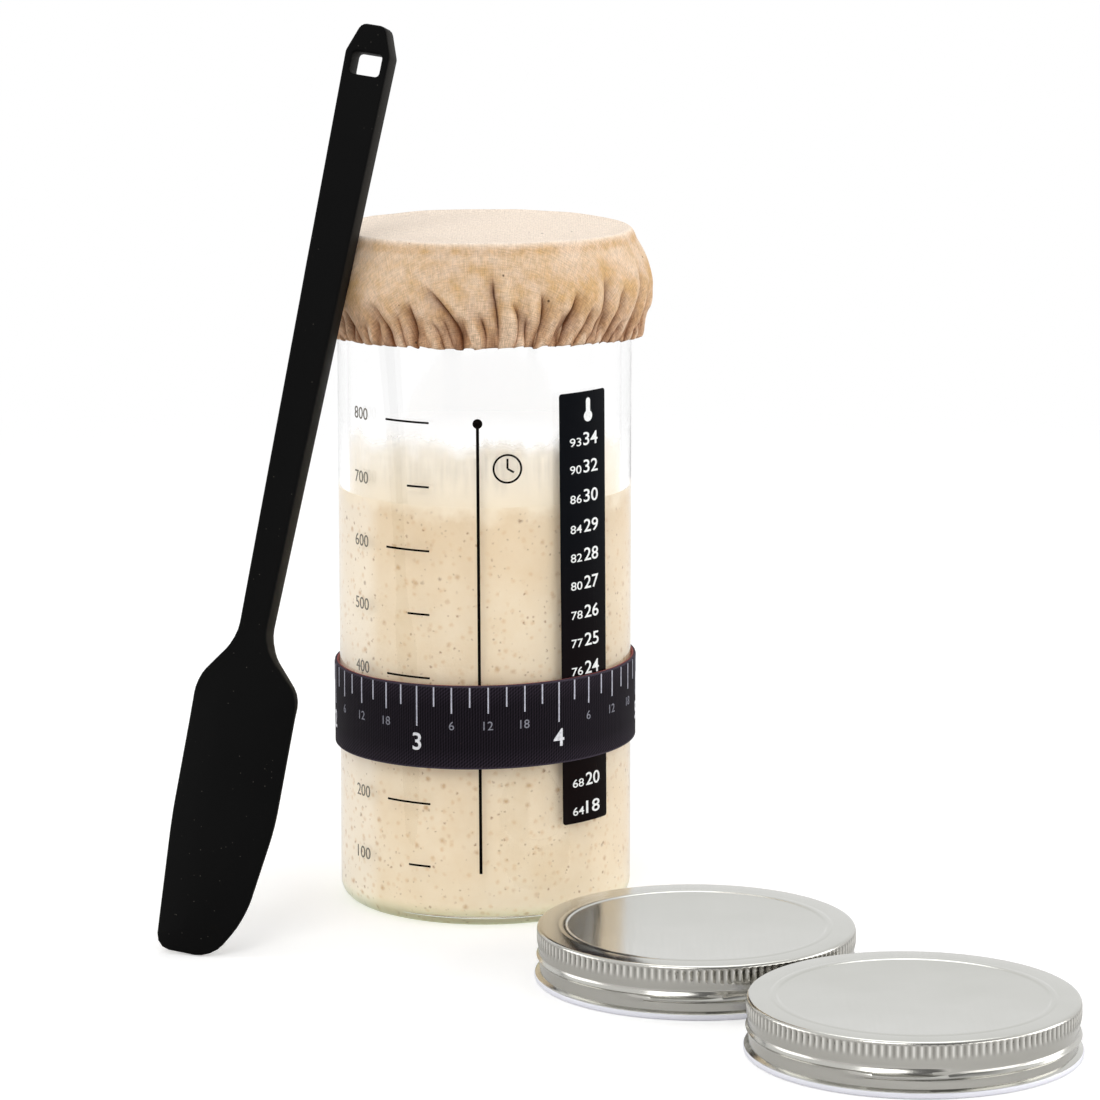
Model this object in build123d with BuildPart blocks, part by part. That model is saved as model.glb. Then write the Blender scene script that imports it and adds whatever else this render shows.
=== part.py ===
from build123d import *
from math import cos, degrees, hypot, pi, radians, sin, tan
import os

# Sourdough starter jar with its cloth cover, feeding band, screw lids and spatula.
# Millimetres, +Z up, origin at the middle of the jar's base. Azimuths are turned from the
# front (-Y) towards the right (+X).

# Glass jar
jar_diameter = 88.0
jar_height = 203.0
wall_thickness = 3.15
base_thickness = 3.1
base_corner = 5.0
inside_corner = 4.2
shoulder_height = 184.0
shoulder_rise = 3.4
shoulder_blend = 2.2
neck_diameter = 83.2
neck_wall = 3.0
rim_radius = 1.2
thread_depth = 1.9
thread_width = 3.2
thread_crest = 1.3
thread_root = 0.6
thread_pitch = 6.0
thread_turns = 1.3
thread_drop = 10.4

# Starter, to its level in the jar
starter_level = 126.6

# Printed volume marks
print_thickness = 0.1
print_reach = 2.0
mark_count = 8
mark_spacing = 19.06
first_mark_height = 18.2
long_mark_length = 14.9
short_mark_length = 7.2
mark_thickness = 0.6
mark_end_azimuth = -21.1

# Printed feeding line, with its dot on top
line_azimuth = -1.55
line_slant = 0.3
line_width = 0.9
line_foot_height = 16.7
line_length = 135.15
dot_diameter = 2.9

# Thermometer strip
strip_width = 18.0
strip_length = 129.8
strip_thickness = 0.2
strip_foot_height = 29.9
strip_azimuth = 43.0
strip_slant = 0.68

# Feeding band
band_width = 25.2
band_centre_height = 61.4
band_clearance = 0.3
band_tilt = 1.2
lining_thickness = 0.35
webbing_thickness = 0.65
seam_length = 14.0
seam_thickness = 0.9
seam_azimuth = 180.0
ticks_a_side = 23
tick_turn = 6.87
middle_tick_azimuth = 1.8
ticks_a_day = 8
tick_inset = 0.5
tick_width = 0.42
day_tick_length = 12.0
long_tick_length = 7.8
short_tick_length = 5.9

# Cloth cover: its outline, from the hem up to the flat top
cloth_thickness = 0.8
cover_rest_gap = 0.3
hem_clearance = 0.3
hem_edge_height = 171.6
hem_edge_radius = 46.3
hem_height = 173.3
hem_radius = 47.2
skirt_height = 176.8
skirt_radius = 48.7
swell_height = 181.2
swell_radius = 49.6
bulge_height = 187.0
bulge_radius = 50.2
cover_side_height = 192.0
cover_side_radius = 49.0
cover_shoulder_height = 197.5
cover_shoulder_radius = 46.8
cover_edge_drop = 2.4
cover_edge_radius = 45.2
cover_top_radius = 43.2
fold_count = 36
fold_depth = 1.15
elastic_thickness = 0.4
elastic_width = 4.0
elastic_rise = 3.8

# Screw lids, lying open side down
lid_radius = 45.2
lid_height = 15.4
tinplate_thickness = 0.35
tinplate_bend = 0.7
lid_curl_radius = 46.4
lid_curl_height = 1.3
lid_skirt_foot = 2.2
lid_ledge_height = 5.6
lid_ledge_radius = 46.1
lid_ledge_top = 7.4
lid_waist_radius = 44.9
lid_knurl_foot = 10.2
lid_knurl_radius = 45.7
lid_knurl_top = 13.7
lid_crown_radius = 44.4
lid_bead_radius = 38.7
lid_bead_width = 1.3
lid_panel_drop = 0.7
gasket_width = 4.2
gasket_thickness = 0.9
gasket_clearance = 0.25
front_lid_x = 61.5
front_lid_y = -95.5
side_lid_x = 118.6
side_lid_y = -169.5

# Spatula, leaning on the cover
spatula_length = 275.2
handle_thickness = 7.0
neck_width = 8.7
head_width = 14.2
head_height = 8.6
head_flat = 7.6
head_corner = 2.4
blade_width = 32.0
blade_length = 95.2
tip_thickness = 2.0
blade_thickness = 4.4
hole_width = 9.2
hole_height = 6.7
hole_corner = 1.3
hole_drop = 8.4
core_width = 5.0
core_thickness = 2.0
core_foot = 62.0
core_top_drop = 26.0
spatula_gap = 0.93
spatula_azimuth = -55.0
lean_angle = 16.5
lean_heading = 46.6
face_turn = 20.0

# Shares of the blade's width and length: across, along, and corner radius over the width
blade_shares = (
    (-0.355, -0.014, 0.14),
    (0.200, -0.010, 0.30),
    (0.445, 0.130, 0.90),
    (0.555, 0.420, 2.00),
    (0.535, 0.825, 0.25),
)
blade_left_shares = (
    (-0.475, 0.820, 0.38),
    (-0.452, 0.390, 5.00),
)
neck_corner_share = 1.5
neck_right_share = 0.955
neck_left_share = 0.965
blade_thick_share = 0.8

# Shares of the fold depth, one after another round the cover
fold_shares = (1.0, 0.55, 0.8, 0.45, 0.9, 0.65, 1.05, 0.5, 0.75)
fold_depth_shares = (0.45, 0.6, 0.95, 0.8, 0.5, 0.25, 0.1, 0, 0)

# Derived sizes
jar_radius = jar_diameter / 2
bore_radius = jar_radius - wall_thickness
neck_radius = neck_diameter / 2
mouth_radius = neck_radius - neck_wall
strip_outside = jar_radius + strip_thickness
band_inside = strip_outside + band_clearance
webbing_inside = band_inside + lining_thickness
band_outside = webbing_inside + webbing_thickness
seam_outside = band_outside + seam_thickness
cover_top_height = jar_height + cover_rest_gap + cloth_thickness
elastic_inside = jar_radius + hem_clearance

os.makedirs("parts", exist_ok=True)


def facing(azimuth, distance):
    """Plane square to the jar's side, with x to the right and y up as seen from outside."""
    outward = Vector(sin(radians(azimuth)), -cos(radians(azimuth)), 0)
    rightward = Vector(cos(radians(azimuth)), sin(radians(azimuth)), 0)
    return Plane(origin=outward * distance, x_dir=rightward, z_dir=outward)


def ring(inner_radius, outer_radius, height=0):
    """Flat ring about the jar's axis at a height."""
    with BuildSketch(Plane.XY.offset(height)) as flat:
        Circle(outer_radius)
        Circle(inner_radius, mode=Mode.SUBTRACT)
    return flat.sketch


def save(part, name):
    """Label a finished piece and write it."""
    part.label = name
    export_step(part, f"parts/{name}.step")


# Glass jar
jar_corners = (
    (0, 0, 0),
    (jar_radius, 0, base_corner),
    (jar_radius, shoulder_height, shoulder_blend),
    (neck_radius, shoulder_height + shoulder_rise, 0),
    (neck_radius, jar_height, rim_radius),
    (mouth_radius, jar_height, rim_radius),
    (mouth_radius, shoulder_height + shoulder_rise, shoulder_blend),
    (bore_radius, shoulder_height, shoulder_blend),
    (bore_radius, base_thickness, inside_corner),
    (0, base_thickness, 0),
)
with BuildPart() as glass_jar:
    with BuildSketch(Plane.XZ):
        with BuildLine():
            FilletPolyline(
                *[(x, z) for x, z, corner in jar_corners],
                radius=[corner for x, z, corner in jar_corners],
                close=True,
            )
        make_face()
    revolve(axis=Axis.Z)
    with BuildLine() as thread_path:
        Helix(
            pitch=thread_pitch,
            height=thread_pitch * thread_turns,
            radius=neck_radius,
            center=(0, 0, jar_height - thread_drop),
        )
    thread_start = thread_path.line @ 0
    with BuildSketch(Plane(origin=thread_start, x_dir=(1, 0, 0), z_dir=thread_path.line % 0)):
        with BuildLine():
            Polyline(
                (-thread_root, -thread_width / 2),
                (0, -thread_width / 2),
                (thread_depth, -thread_crest / 2),
                (thread_depth, thread_crest / 2),
                (0, thread_width / 2),
                (-thread_root, thread_width / 2),
                close=True,
            )
        make_face()
    sweep(path=thread_path.line, is_frenet=True)
save(glass_jar.part, "glass_jar")

# Starter
starter_corners = (
    (0, base_thickness, 0),
    (bore_radius, base_thickness, inside_corner),
    (bore_radius, starter_level, 0),
    (0, starter_level, 0),
)
with BuildPart() as starter:
    with BuildSketch(Plane.XZ):
        with BuildLine():
            FilletPolyline(
                *[(x, z) for x, z, corner in starter_corners],
                radius=[corner for x, z, corner in starter_corners],
                close=True,
            )
        make_face()
    revolve(axis=Axis.Z)
save(starter.part, "starter")

# Volume marks
with BuildPart() as volume_marks:
    for mark in range(mark_count):
        length = long_mark_length if mark % 2 else short_mark_length
        turn = degrees(length / 2 / jar_radius)
        with BuildSketch(facing(mark_end_azimuth - turn, jar_radius - print_reach)):
            with Locations((0, first_mark_height + mark * mark_spacing)):
                Rectangle(length, mark_thickness)
    extrude(amount=2 * print_reach)
    extrude(ring(jar_radius, jar_radius + print_thickness), amount=jar_height, mode=Mode.INTERSECT)
save(volume_marks.part, "volume_marks")

# Feeding line
with BuildPart() as feeding_line:
    with BuildSketch(facing(line_azimuth, jar_radius - print_reach)):
        with Locations((0, line_foot_height + line_length / 2)):
            Rectangle(line_width, line_length, rotation=line_slant)
            with Locations((-line_length / 2 * sin(radians(line_slant)), line_length / 2)):
                Circle(dot_diameter / 2)
    extrude(amount=2 * print_reach)
    extrude(ring(jar_radius, jar_radius + print_thickness), amount=jar_height, mode=Mode.INTERSECT)
save(feeding_line.part, "feeding_line")

# Thermometer strip
with BuildPart() as thermometer_strip:
    with BuildSketch(facing(strip_azimuth, jar_radius - print_reach)):
        with Locations((0, strip_foot_height + strip_length / 2)):
            Rectangle(strip_width, strip_length, rotation=strip_slant)
    extrude(amount=2 * print_reach)
    extrude(ring(jar_radius, strip_outside), amount=jar_height, mode=Mode.INTERSECT)
save(thermometer_strip.part, "thermometer_strip")


def band_edge(side):
    """Cutting plane at the band's upper (1) or lower (-1) edge, higher on the right."""
    slope = Vector(-sin(radians(band_tilt)), 0, cos(radians(band_tilt)))
    edge_height = band_centre_height + side * band_width / 2 / cos(radians(band_tilt))
    return Plane(origin=(0, 0, edge_height), x_dir=(0, -1, 0), z_dir=slope)


# Feeding band
with BuildPart() as band_lining:
    extrude(ring(band_inside, webbing_inside), amount=2 * band_centre_height)
    split(bisect_by=band_edge(1), keep=Keep.BOTTOM)
    split(bisect_by=band_edge(-1), keep=Keep.TOP)
save(band_lining.part, "band_lining")

with BuildPart() as band_webbing:
    extrude(ring(webbing_inside, band_outside), amount=2 * band_centre_height)
    split(bisect_by=band_edge(1), keep=Keep.BOTTOM)
    split(bisect_by=band_edge(-1), keep=Keep.TOP)
save(band_webbing.part, "band_webbing")

with BuildPart() as band_seam:
    with BuildSketch(facing(seam_azimuth, jar_radius)):
        with Locations((0, band_centre_height)):
            Rectangle(seam_length, 2 * band_width)
    extrude(amount=2 * seam_outside)
    extrude(ring(band_outside, seam_outside), amount=2 * band_centre_height, mode=Mode.INTERSECT)
    split(bisect_by=band_edge(1), keep=Keep.BOTTOM)
    split(bisect_by=band_edge(-1), keep=Keep.TOP)
save(band_seam.part, "band_seam")

with BuildPart() as band_ticks:
    for tick in range(-ticks_a_side, ticks_a_side + 1):
        if (tick - ticks_a_day / 2) % ticks_a_day == 0:
            length = day_tick_length
        elif tick % 2 == 0:
            length = long_tick_length
        else:
            length = short_tick_length
        azimuth = middle_tick_azimuth + tick * tick_turn
        sideways = band_outside * sin(radians(azimuth))
        tick_top = band_centre_height + band_width / 2 - tick_inset + sideways * tan(radians(band_tilt))
        with BuildSketch(facing(azimuth, band_outside)):
            with Locations((0, tick_top - length / 2)):
                Rectangle(tick_width, length)
    extrude(amount=print_thickness)
save(band_ticks.part, "band_ticks")

# Cloth cover: radius, height and share of the fold depth, from the hem up
cover_rows = (
    (hem_edge_radius, hem_edge_height),
    (hem_radius, hem_height),
    (skirt_radius, skirt_height),
    (swell_radius, swell_height),
    (bulge_radius, bulge_height),
    (cover_side_radius, cover_side_height),
    (cover_shoulder_radius, cover_shoulder_height),
    (cover_edge_radius, cover_top_height - cover_edge_drop),
    (cover_top_radius, cover_top_height),
)
cover_outline = [(*row, share) for row, share in zip(cover_rows, fold_depth_shares)]


def inward(outline, distance):
    """The outline moved square to itself by a distance, towards the inside of the cover."""
    moved = []
    for place, (radius, height, share) in enumerate(outline):
        below = outline[max(place - 1, 0)]
        above = outline[min(place + 1, len(outline) - 1)]
        run = above[0] - below[0]
        rise = above[1] - below[1]
        slope = hypot(run, rise)
        moved.append((radius - distance * rise / slope, height + distance * run / slope, share))
    return moved


def folded_ring(radius, height, share):
    """Closed outline of the cover at a height: crests and valleys as arcs in turn."""
    pitch = 2 * pi / fold_count
    with BuildSketch(Plane.XY.offset(height)) as flat:
        with BuildLine():
            for fold in range(fold_count):
                depth = fold_depth * share * fold_shares[fold % len(fold_shares)]
                next_depth = fold_depth * share * fold_shares[(fold + 1) % len(fold_shares)]
                middle = radius - fold_depth * share
                angle = fold * pitch
                start = Vector(middle, 0).rotate(Axis.Z, degrees(angle - pitch / 4))
                crest = Vector(middle + depth, 0).rotate(Axis.Z, degrees(angle))
                end = Vector(middle, 0).rotate(Axis.Z, degrees(angle + pitch / 4))
                valley = Vector(middle - next_depth, 0).rotate(Axis.Z, degrees(angle + pitch / 2))
                next_start = Vector(middle, 0).rotate(Axis.Z, degrees(angle + 3 * pitch / 4))
                ThreePointArc(start, crest, end)
                ThreePointArc(end, valley, next_start)
        make_face()
    return flat.sketch


cover_lining = inward(cover_outline[:-1], cloth_thickness)
cover_lining.append((cover_top_radius - cloth_thickness, cover_top_height - cloth_thickness, 0))
hem_overrun = (cover_lining[0][0], hem_edge_height - cloth_thickness, cover_lining[0][2])
with BuildPart() as cover_cloth:
    loft([folded_ring(*row) for row in cover_outline])
    loft([folded_ring(*row) for row in (hem_overrun, *cover_lining)], mode=Mode.SUBTRACT)
save(cover_cloth.part, "cover_cloth")

with BuildPart() as cover_elastic:
    elastic_foot = hem_edge_height + elastic_rise
    extrude(ring(elastic_inside, elastic_inside + elastic_thickness, elastic_foot), amount=elastic_width)
save(cover_elastic.part, "cover_elastic")

# Screw lids: the tinplate's outside, from the middle of the top out and down to the curl
bead_inside = lid_bead_radius - lid_bead_width
lid_outline = (
    (0, lid_height - lid_panel_drop),
    (bead_inside, lid_height - lid_panel_drop),
    (lid_bead_radius, lid_height),
    (lid_crown_radius, lid_height),
    (lid_knurl_radius, lid_knurl_top),
    (lid_knurl_radius, lid_knurl_foot),
    (lid_waist_radius, lid_knurl_foot - tinplate_bend),
    (lid_waist_radius, lid_ledge_top),
    (lid_ledge_radius, lid_ledge_height),
    (lid_radius, lid_ledge_height - tinplate_bend),
    (lid_radius, lid_skirt_foot),
    (lid_curl_radius, lid_curl_height),
    (lid_curl_radius, 0),
)
lid_places = {
    "front_lid": (front_lid_x, front_lid_y),
    "side_lid": (side_lid_x, side_lid_y),
}
for lid_name, (lid_x, lid_y) in lid_places.items():
    lid_axis = Axis((lid_x, lid_y, 0), (0, 0, 1))
    with BuildPart() as lid_cap:
        with BuildSketch(Plane(origin=(lid_x, lid_y, 0), x_dir=(1, 0, 0), z_dir=(0, -1, 0))):
            with BuildLine():
                Polyline(*lid_outline)
                offset(amount=tinplate_thickness, side=Side.RIGHT)
            make_face()
        revolve(axis=lid_axis)
    save(lid_cap.part, f"{lid_name}_cap")

    gasket_outside = lid_crown_radius - tinplate_thickness - gasket_clearance
    gasket_top = lid_height - tinplate_thickness
    with BuildPart() as lid_gasket:
        with BuildSketch(Plane(origin=(lid_x, lid_y, gasket_top - gasket_thickness))):
            Circle(gasket_outside)
            Circle(gasket_outside - gasket_width, mode=Mode.SUBTRACT)
        extrude(amount=gasket_thickness)
    save(lid_gasket.part, f"{lid_name}_gasket")

# Spatula: its own plane has x across the blade, y along it and z out of its front
lean_rise = cos(radians(lean_angle))
lean_run = sin(radians(lean_angle))
along = Vector(
    lean_run * cos(radians(lean_heading)),
    lean_run * sin(radians(lean_heading)),
    lean_rise,
)
face = Vector(-sin(radians(face_turn)), -cos(radians(face_turn)), 0)
face = (face - along * face.dot(along)).normalized()
across = along.cross(face)
rest_way = Vector(sin(radians(spatula_azimuth)), -cos(radians(spatula_azimuth)), 0)
rest_length = bulge_height / lean_rise
rest_share = (rest_length - blade_length) / (spatula_length - blade_length)
rest_width = neck_width + (head_width - neck_width) * rest_share
rest_reach = abs(rest_way.dot(across)) * rest_width / 2 + abs(rest_way.dot(face)) * handle_thickness / 2
rest_point = rest_way * (bulge_radius + spatula_gap + rest_reach) + Vector(0, 0, bulge_height)
spatula_foot = rest_point - along * rest_length
spatula_plane = Plane(origin=spatula_foot, x_dir=across, z_dir=face)
edge_plane = Plane(origin=spatula_foot, x_dir=face, z_dir=-across)

head_foot = spatula_length - head_height
spatula_corners = [
    (blade_width * x, blade_length * y, blade_width * corner) for x, y, corner in blade_shares
]
spatula_corners += [
    (neck_width / 2, blade_length * neck_right_share, neck_width * neck_corner_share),
    (head_width / 2, head_foot, head_corner),
    (head_flat / 2, spatula_length, head_corner),
    (-head_flat / 2, spatula_length, head_corner),
    (-head_width / 2, head_foot, head_corner),
    (-neck_width / 2, blade_length * neck_left_share, neck_width * neck_corner_share),
]
spatula_corners += [
    (blade_width * x, blade_length * y, blade_width * corner) for x, y, corner in blade_left_shares
]
with BuildPart() as spatula_core:
    with BuildSketch(spatula_plane):
        with Locations((0, (core_foot + spatula_length - core_top_drop) / 2)):
            Rectangle(core_width, spatula_length - core_top_drop - core_foot)
    extrude(amount=core_thickness / 2, both=True)

with BuildPart() as spatula_body:
    with BuildSketch(spatula_plane):
        with BuildLine():
            FilletPolyline(
                *[(x, y) for x, y, corner in spatula_corners],
                radius=[corner for x, y, corner in spatula_corners],
                close=True,
            )
        make_face()
        with Locations((0, spatula_length - hole_drop - hole_height / 2)):
            RectangleRounded(hole_width, hole_height, hole_corner, mode=Mode.SUBTRACT)
    extrude(amount=handle_thickness / 2, both=True)
    with BuildSketch(edge_plane):
        with BuildLine():
            Polyline(
                (-tip_thickness / 2, -blade_width),
                (tip_thickness / 2, -blade_width),
                (tip_thickness / 2, 0),
                (blade_thickness / 2, blade_length * blade_thick_share),
                (handle_thickness / 2, blade_length),
                (handle_thickness / 2, spatula_length + head_height),
                (-handle_thickness / 2, spatula_length + head_height),
                (-handle_thickness / 2, blade_length),
                (-blade_thickness / 2, blade_length * blade_thick_share),
                (-tip_thickness / 2, 0),
                close=True,
            )
        make_face()
    extrude(amount=blade_width, both=True, mode=Mode.INTERSECT)
    add(spatula_core.part, mode=Mode.SUBTRACT)

# Both pieces slide along the lean until the blade's lowest point stands on the floor
lowest = spatula_body.part.bounding_box().min.Z
seat = Location(along * (-lowest / along.Z))
save(spatula_body.part.moved(seat), "spatula_body")
save(spatula_core.part.moved(seat), "spatula_core")
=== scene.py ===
import random
from math import atan2, ceil, cos, exp, floor, hypot, pi, radians, sin, sqrt, tan
import bmesh
import bpy
from mathutils import Matrix, Vector, noise
from mathutils.geometry import intersect_point_line


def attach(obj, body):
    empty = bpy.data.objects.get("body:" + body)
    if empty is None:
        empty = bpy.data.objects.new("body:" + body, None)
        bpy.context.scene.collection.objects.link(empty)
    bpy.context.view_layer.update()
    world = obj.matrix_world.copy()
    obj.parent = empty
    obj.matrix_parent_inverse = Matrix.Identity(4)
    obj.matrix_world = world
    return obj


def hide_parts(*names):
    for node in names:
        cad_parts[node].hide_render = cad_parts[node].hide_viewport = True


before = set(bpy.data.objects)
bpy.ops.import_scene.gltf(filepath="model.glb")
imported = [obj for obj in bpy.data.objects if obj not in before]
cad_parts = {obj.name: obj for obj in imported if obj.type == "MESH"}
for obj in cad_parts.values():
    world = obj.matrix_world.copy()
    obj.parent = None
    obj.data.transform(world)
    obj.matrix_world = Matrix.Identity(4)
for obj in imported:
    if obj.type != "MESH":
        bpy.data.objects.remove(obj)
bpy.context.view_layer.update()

# Sourdough starter jar with its cloth cover, feeding band, screw lids and spatula. Sizes are
# millimetres and become metres as each piece is finished. Azimuths turn from the front (-Y)
# towards the right (+X), in degrees.
MM = 0.001
NEAR = 0.002
NUMBER_SLICE = 1.0

# Camera, as the photograph was taken
camera_place = (0.0196, -1.5, 0.395)
camera_pitch = 10.905
camera_lens = 165.8
camera_sensor = 36

# Softboxes and table, in metres
softbox_aim = (0.02, -0.04, 0.1)
table_reach = 6
table_drop = 0.0001

# Jar
jar_radius = 44.0
jar_height = 203.0
bore_radius = 40.85
base_thickness = 3.1
base_corner = 5.0
base_recess = 0.8
foot_radius = 38.0
inside_corner = 4.2
shoulder_height = 184.0
shoulder_rise = 3.4
shoulder_corner = 1.1
neck_radius = 41.6
mouth_radius = 38.6
rim_corner = 1.2
thread_depth = 1.9
thread_width = 3.2
thread_crest = 1.3
thread_pitch = 6.0
thread_turns = 1.3
thread_start = 192.6
thread_fade = 0.04
neck_rows = 30
jar_steps = 288

# Starter and its smear above the level
starter_level = 126.6
starter_steps = 240
contact = 0.05
bubble_count = 90
bubble_field = 0.95
bubble_sizes = (1.2, 3.4)
bubble_bulge = 0.3
top_swell = 0.9
top_swell_size = 14
top_ripple = 0.35
top_ripple_size = 4
top_edge = 3
smear_foot = 126.0
smear_top = 153.0
smear_gap = 0.08

# Printing on the glass
print_sink = 0.03
print_rise = 0.07
mark_spacing = 19.06
first_mark_height = 18.2
number_azimuth = -55.4
number_height = 3.6
number_width = 7.0
number_lift = 0.4
clock_azimuth = 9.4
clock_height = 138.5
clock_radius = 4.4
clock_line = 0.6
clock_hands = ((0, 3.0), (-120, 2.2))
clock_steps = 48

# Thermometer strip
strip_width = 18.0
strip_length = 129.8
strip_thickness = 0.2
strip_foot_height = 29.9
strip_azimuth = 43.0
strip_slant = 0.68
strip_corner = 0.9
strip_slice = 0.5
sign_side = 1.5
sign_height = 152.3
sign_length = 4.6
sign_stem = 0.85
sign_bulb = 1.7

# Numbers on the strip: place across, drop, height, width and weight of line
large_figure = (2.5, 0, 3.9, 5.9, 0.007)
small_figure = (-3.4, 0.7, 2.5, 4.2, 0.002)

# Feeding band
band_width = 25.2
band_centre_height = 61.4
band_tilt = 1.2
band_outside = 45.5
webbing_inside = 44.85
webbing_corner = 0.3
band_steps = 288
tick_turn = 6.87
middle_tick_azimuth = 1.8
last_numbered_tick = 22
hours_a_tick = 3
ticks_a_day = 8
day_tick = 4
day_at_tick = 4
hour_drop = 12.0
hour_height = 2.6
day_drop = 17.2
day_height = 5.3
day_weight = 0.012

# Cloth cover: radius and height from the top's edge down to the hem, then turned in
cover_rows = (
    (40.6, 203.5), (42.0, 203.8), (43.2, 204.0), (44.2, 203.4), (44.9, 202.2), (45.5, 200.6),
    (47.1, 197.6), (48.9, 193.4), (49.6, 188.5), (49.2, 183.5), (48.1, 179.2),
    (47.1, 176.0), (46.4, 174.1), (45.9, 173.4), (45.5, 174.4), (45.3, 177.0), (45.3, 180.0),
)
cover_edge_height = 201.9
hem_height = 173.4
hem_side_drop = 2.4
hem_front_lift = 0.9
rim_front_lift = 0.8
cover_steps = 800
cover_step = 0.6
disc_rings = 12

# Folds of the cover seen from the front: azimuth at the hem, half way and at the top, where
# the top lies as a share of the way down, depth, width, and the side that laps over
front_folds = (
    (-62.0, -66.0, -70.0, 0.55, 1.5, 2.2, 1),
    (-48.0, -52.0, -55.0, 0.62, 1.7, 2.0, 1),
    (-32.6, -35.5, -41.0, 0.50, 2.0, 2.2, 1),
    (-22.5, -23.2, -26.0, 0.44, 2.3, 2.0, 1),
    (-14.5, -16.0, -18.5, 0.66, 1.4, 1.6, -1),
    (-5.8, -9.5, -23.0, 0.26, 2.5, 2.3, 1),
    (2.2, 1.8, -1.5, 0.56, 1.8, 1.5, 1),
    (7.1, 6.4, 3.0, 0.14, 2.9, 1.7, 1),
    (10.4, 11.4, 8.6, 0.42, 2.2, 1.6, -1),
    (17.8, 19.8, 20.2, 0.32, 2.3, 1.8, -1),
    (23.8, 26.6, 28.4, 0.54, 2.0, 1.7, -1),
    (27.2, 30.6, 35.0, 0.34, 2.3, 1.8, -1),
    (33.6, 37.4, 40.0, 0.54, 2.0, 1.6, -1),
    (39.4, 45.0, 47.8, 0.20, 2.0, 1.8, -1),
    (48.0, 52.8, 57.5, 0.36, 1.9, 1.8, -1),
    (58.4, 65.6, 71.0, 0.18, 1.8, 1.9, -1),
    (68.0, 74.0, 78.0, 0.42, 2.0, 1.9, -1),
)

# Folds drawn at random behind, between the ends of the front, and fine gathers among all of them
front_span = (-72, 78)
back_fold_turn = 8.4
back_fold_turns = (0.75, 1.25)
back_fold_lean = 7
back_fold_bend = 0.4
back_fold_shift = 2.2
back_fold_starts = (0.2, 0.35, 0.45, 0.55, 0.6)
back_fold_depths = (1.8, 2.9)
back_fold_widths = (1.5, 2.3)
gather_turn = 4.4
gather_shift = 0.7
gather_starts = (0.58, 0.78)
gather_depths = (0.9, 1.7)
gather_width = 1.2
gather_bend = 0.2
gather_lean = 0.4

# Section of a fold: places and widths are shares of its width, rises and sinks of its depth.
# The flank under the lap is steep, the open one runs out gently.
fold_window = 28
fold_tail = 4
fold_widening = 0.6
fold_onset = 0.35
lapped_flank = 0.35
open_flank = 0.9
flank_sink = 0.55
valley_width = 1.15
valley_sink = 0.7
lip_place = 1.0
lip_width = 0.6
lip_rise = 0.45
lap_place = 0.35
lap_width = 0.55
lap_shift = 0.6

# How dark the painted shade in a fold's crease is, and how light the painted highlight on its lip
lapped_shade = 0.3
open_shade = 0.75
full_crease = 2.4
shade_share = 0.9
valley_share = 0.15
lip_share = 0.35
crease_limits = (-0.5, 1)

# Slack cloth: size and depth of its waves, and the share of the way down where they are full
cloth_waves = ((13, 0.9, 0.35), (5, 0.35, 0.5))
belly = 0.9
belly_start = 0.2
belly_run = 0.5
hem_draw = 0.45
hem_draw_start = 0.8
hem_draw_run = 0.2
turned_in_folds = 0.35
pucker_start = 0.6
pucker_depth = 1.3
pucker_lean = 1.5
pucker_shade = 0.9
puckers_a_radian = 26
cloth_clearance = 1.0

# Uneven hem: waves a radian and their depth, and how the cloth falls and rises towards it
hem_waves = ((5, 0.4), (19, 0.7))
crease_lift = 0.45
crease_lift_limit = 1.2
fall_start = 0.55
fall_run = 0.45
rim_lift_run = 0.3
disc_wave = 0.22
disc_wave_size = 12
disc_middle = 10
disc_lift_start = 30
disc_lift_run = 14

# Screw lids, lying open side down
lid_places = {"front_lid": (61.5, -95.5), "side_lid": (118.6, -169.5)}
lid_height = 15.4
tinplate_thickness = 0.35
lid_curl_radius = 46.4
lid_curl_height = 1.5
lid_skirt_foot = 2.3
lid_waist_radius = 44.9
lid_knurl_foot = 10.9
lid_knurl_radius = 45.7
lid_knurl_top = 14.3
lid_crown_radius = 45.2
lid_bead_radius = 38.7
lid_bead_width = 1.3
lid_bead_rise = 0.2
lid_bead_drop = 0.05
lid_bead_run = 0.5
lid_panel_drop = 0.4
lid_bead_corner = 0.3
lid_crown_corner = 0.6
lid_knurl_corner = 0.4
lid_knurl_step = 0.05
lid_curl_width = 1.5
lid_curl_corner = 0.5
lid_lip_corner = 0.55
lid_lip_inner_corner = 0.35
lid_foot_corner = 0.3
lid_crown_inset = 0.8
lid_crown_inner_corner = 0.5
lid_lacquer_edge = 0.05
knurl_count = 136
knurl_depth = 0.5
knurl_lead = 0.8
knurl_foot_reach = 1.2
knurl_foot_start = 1.0
knurl_foot_run = 2.2
knurl_top_reach = 0.3
knurl_top_run = 0.6
steps_a_knurl = 6
ledge_height = 6.0
ledge_depth = 1.0
ledge_width = 2.6
ledge_pitch = 1.5
ledge_start = -34.0
ledge_turns = 1.14
ledge_fade = 0.05
ledge_steepness = 1.6
ledge_slack = 0.15
ledge_clear = 0.3
skirt_rows = 14

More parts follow.
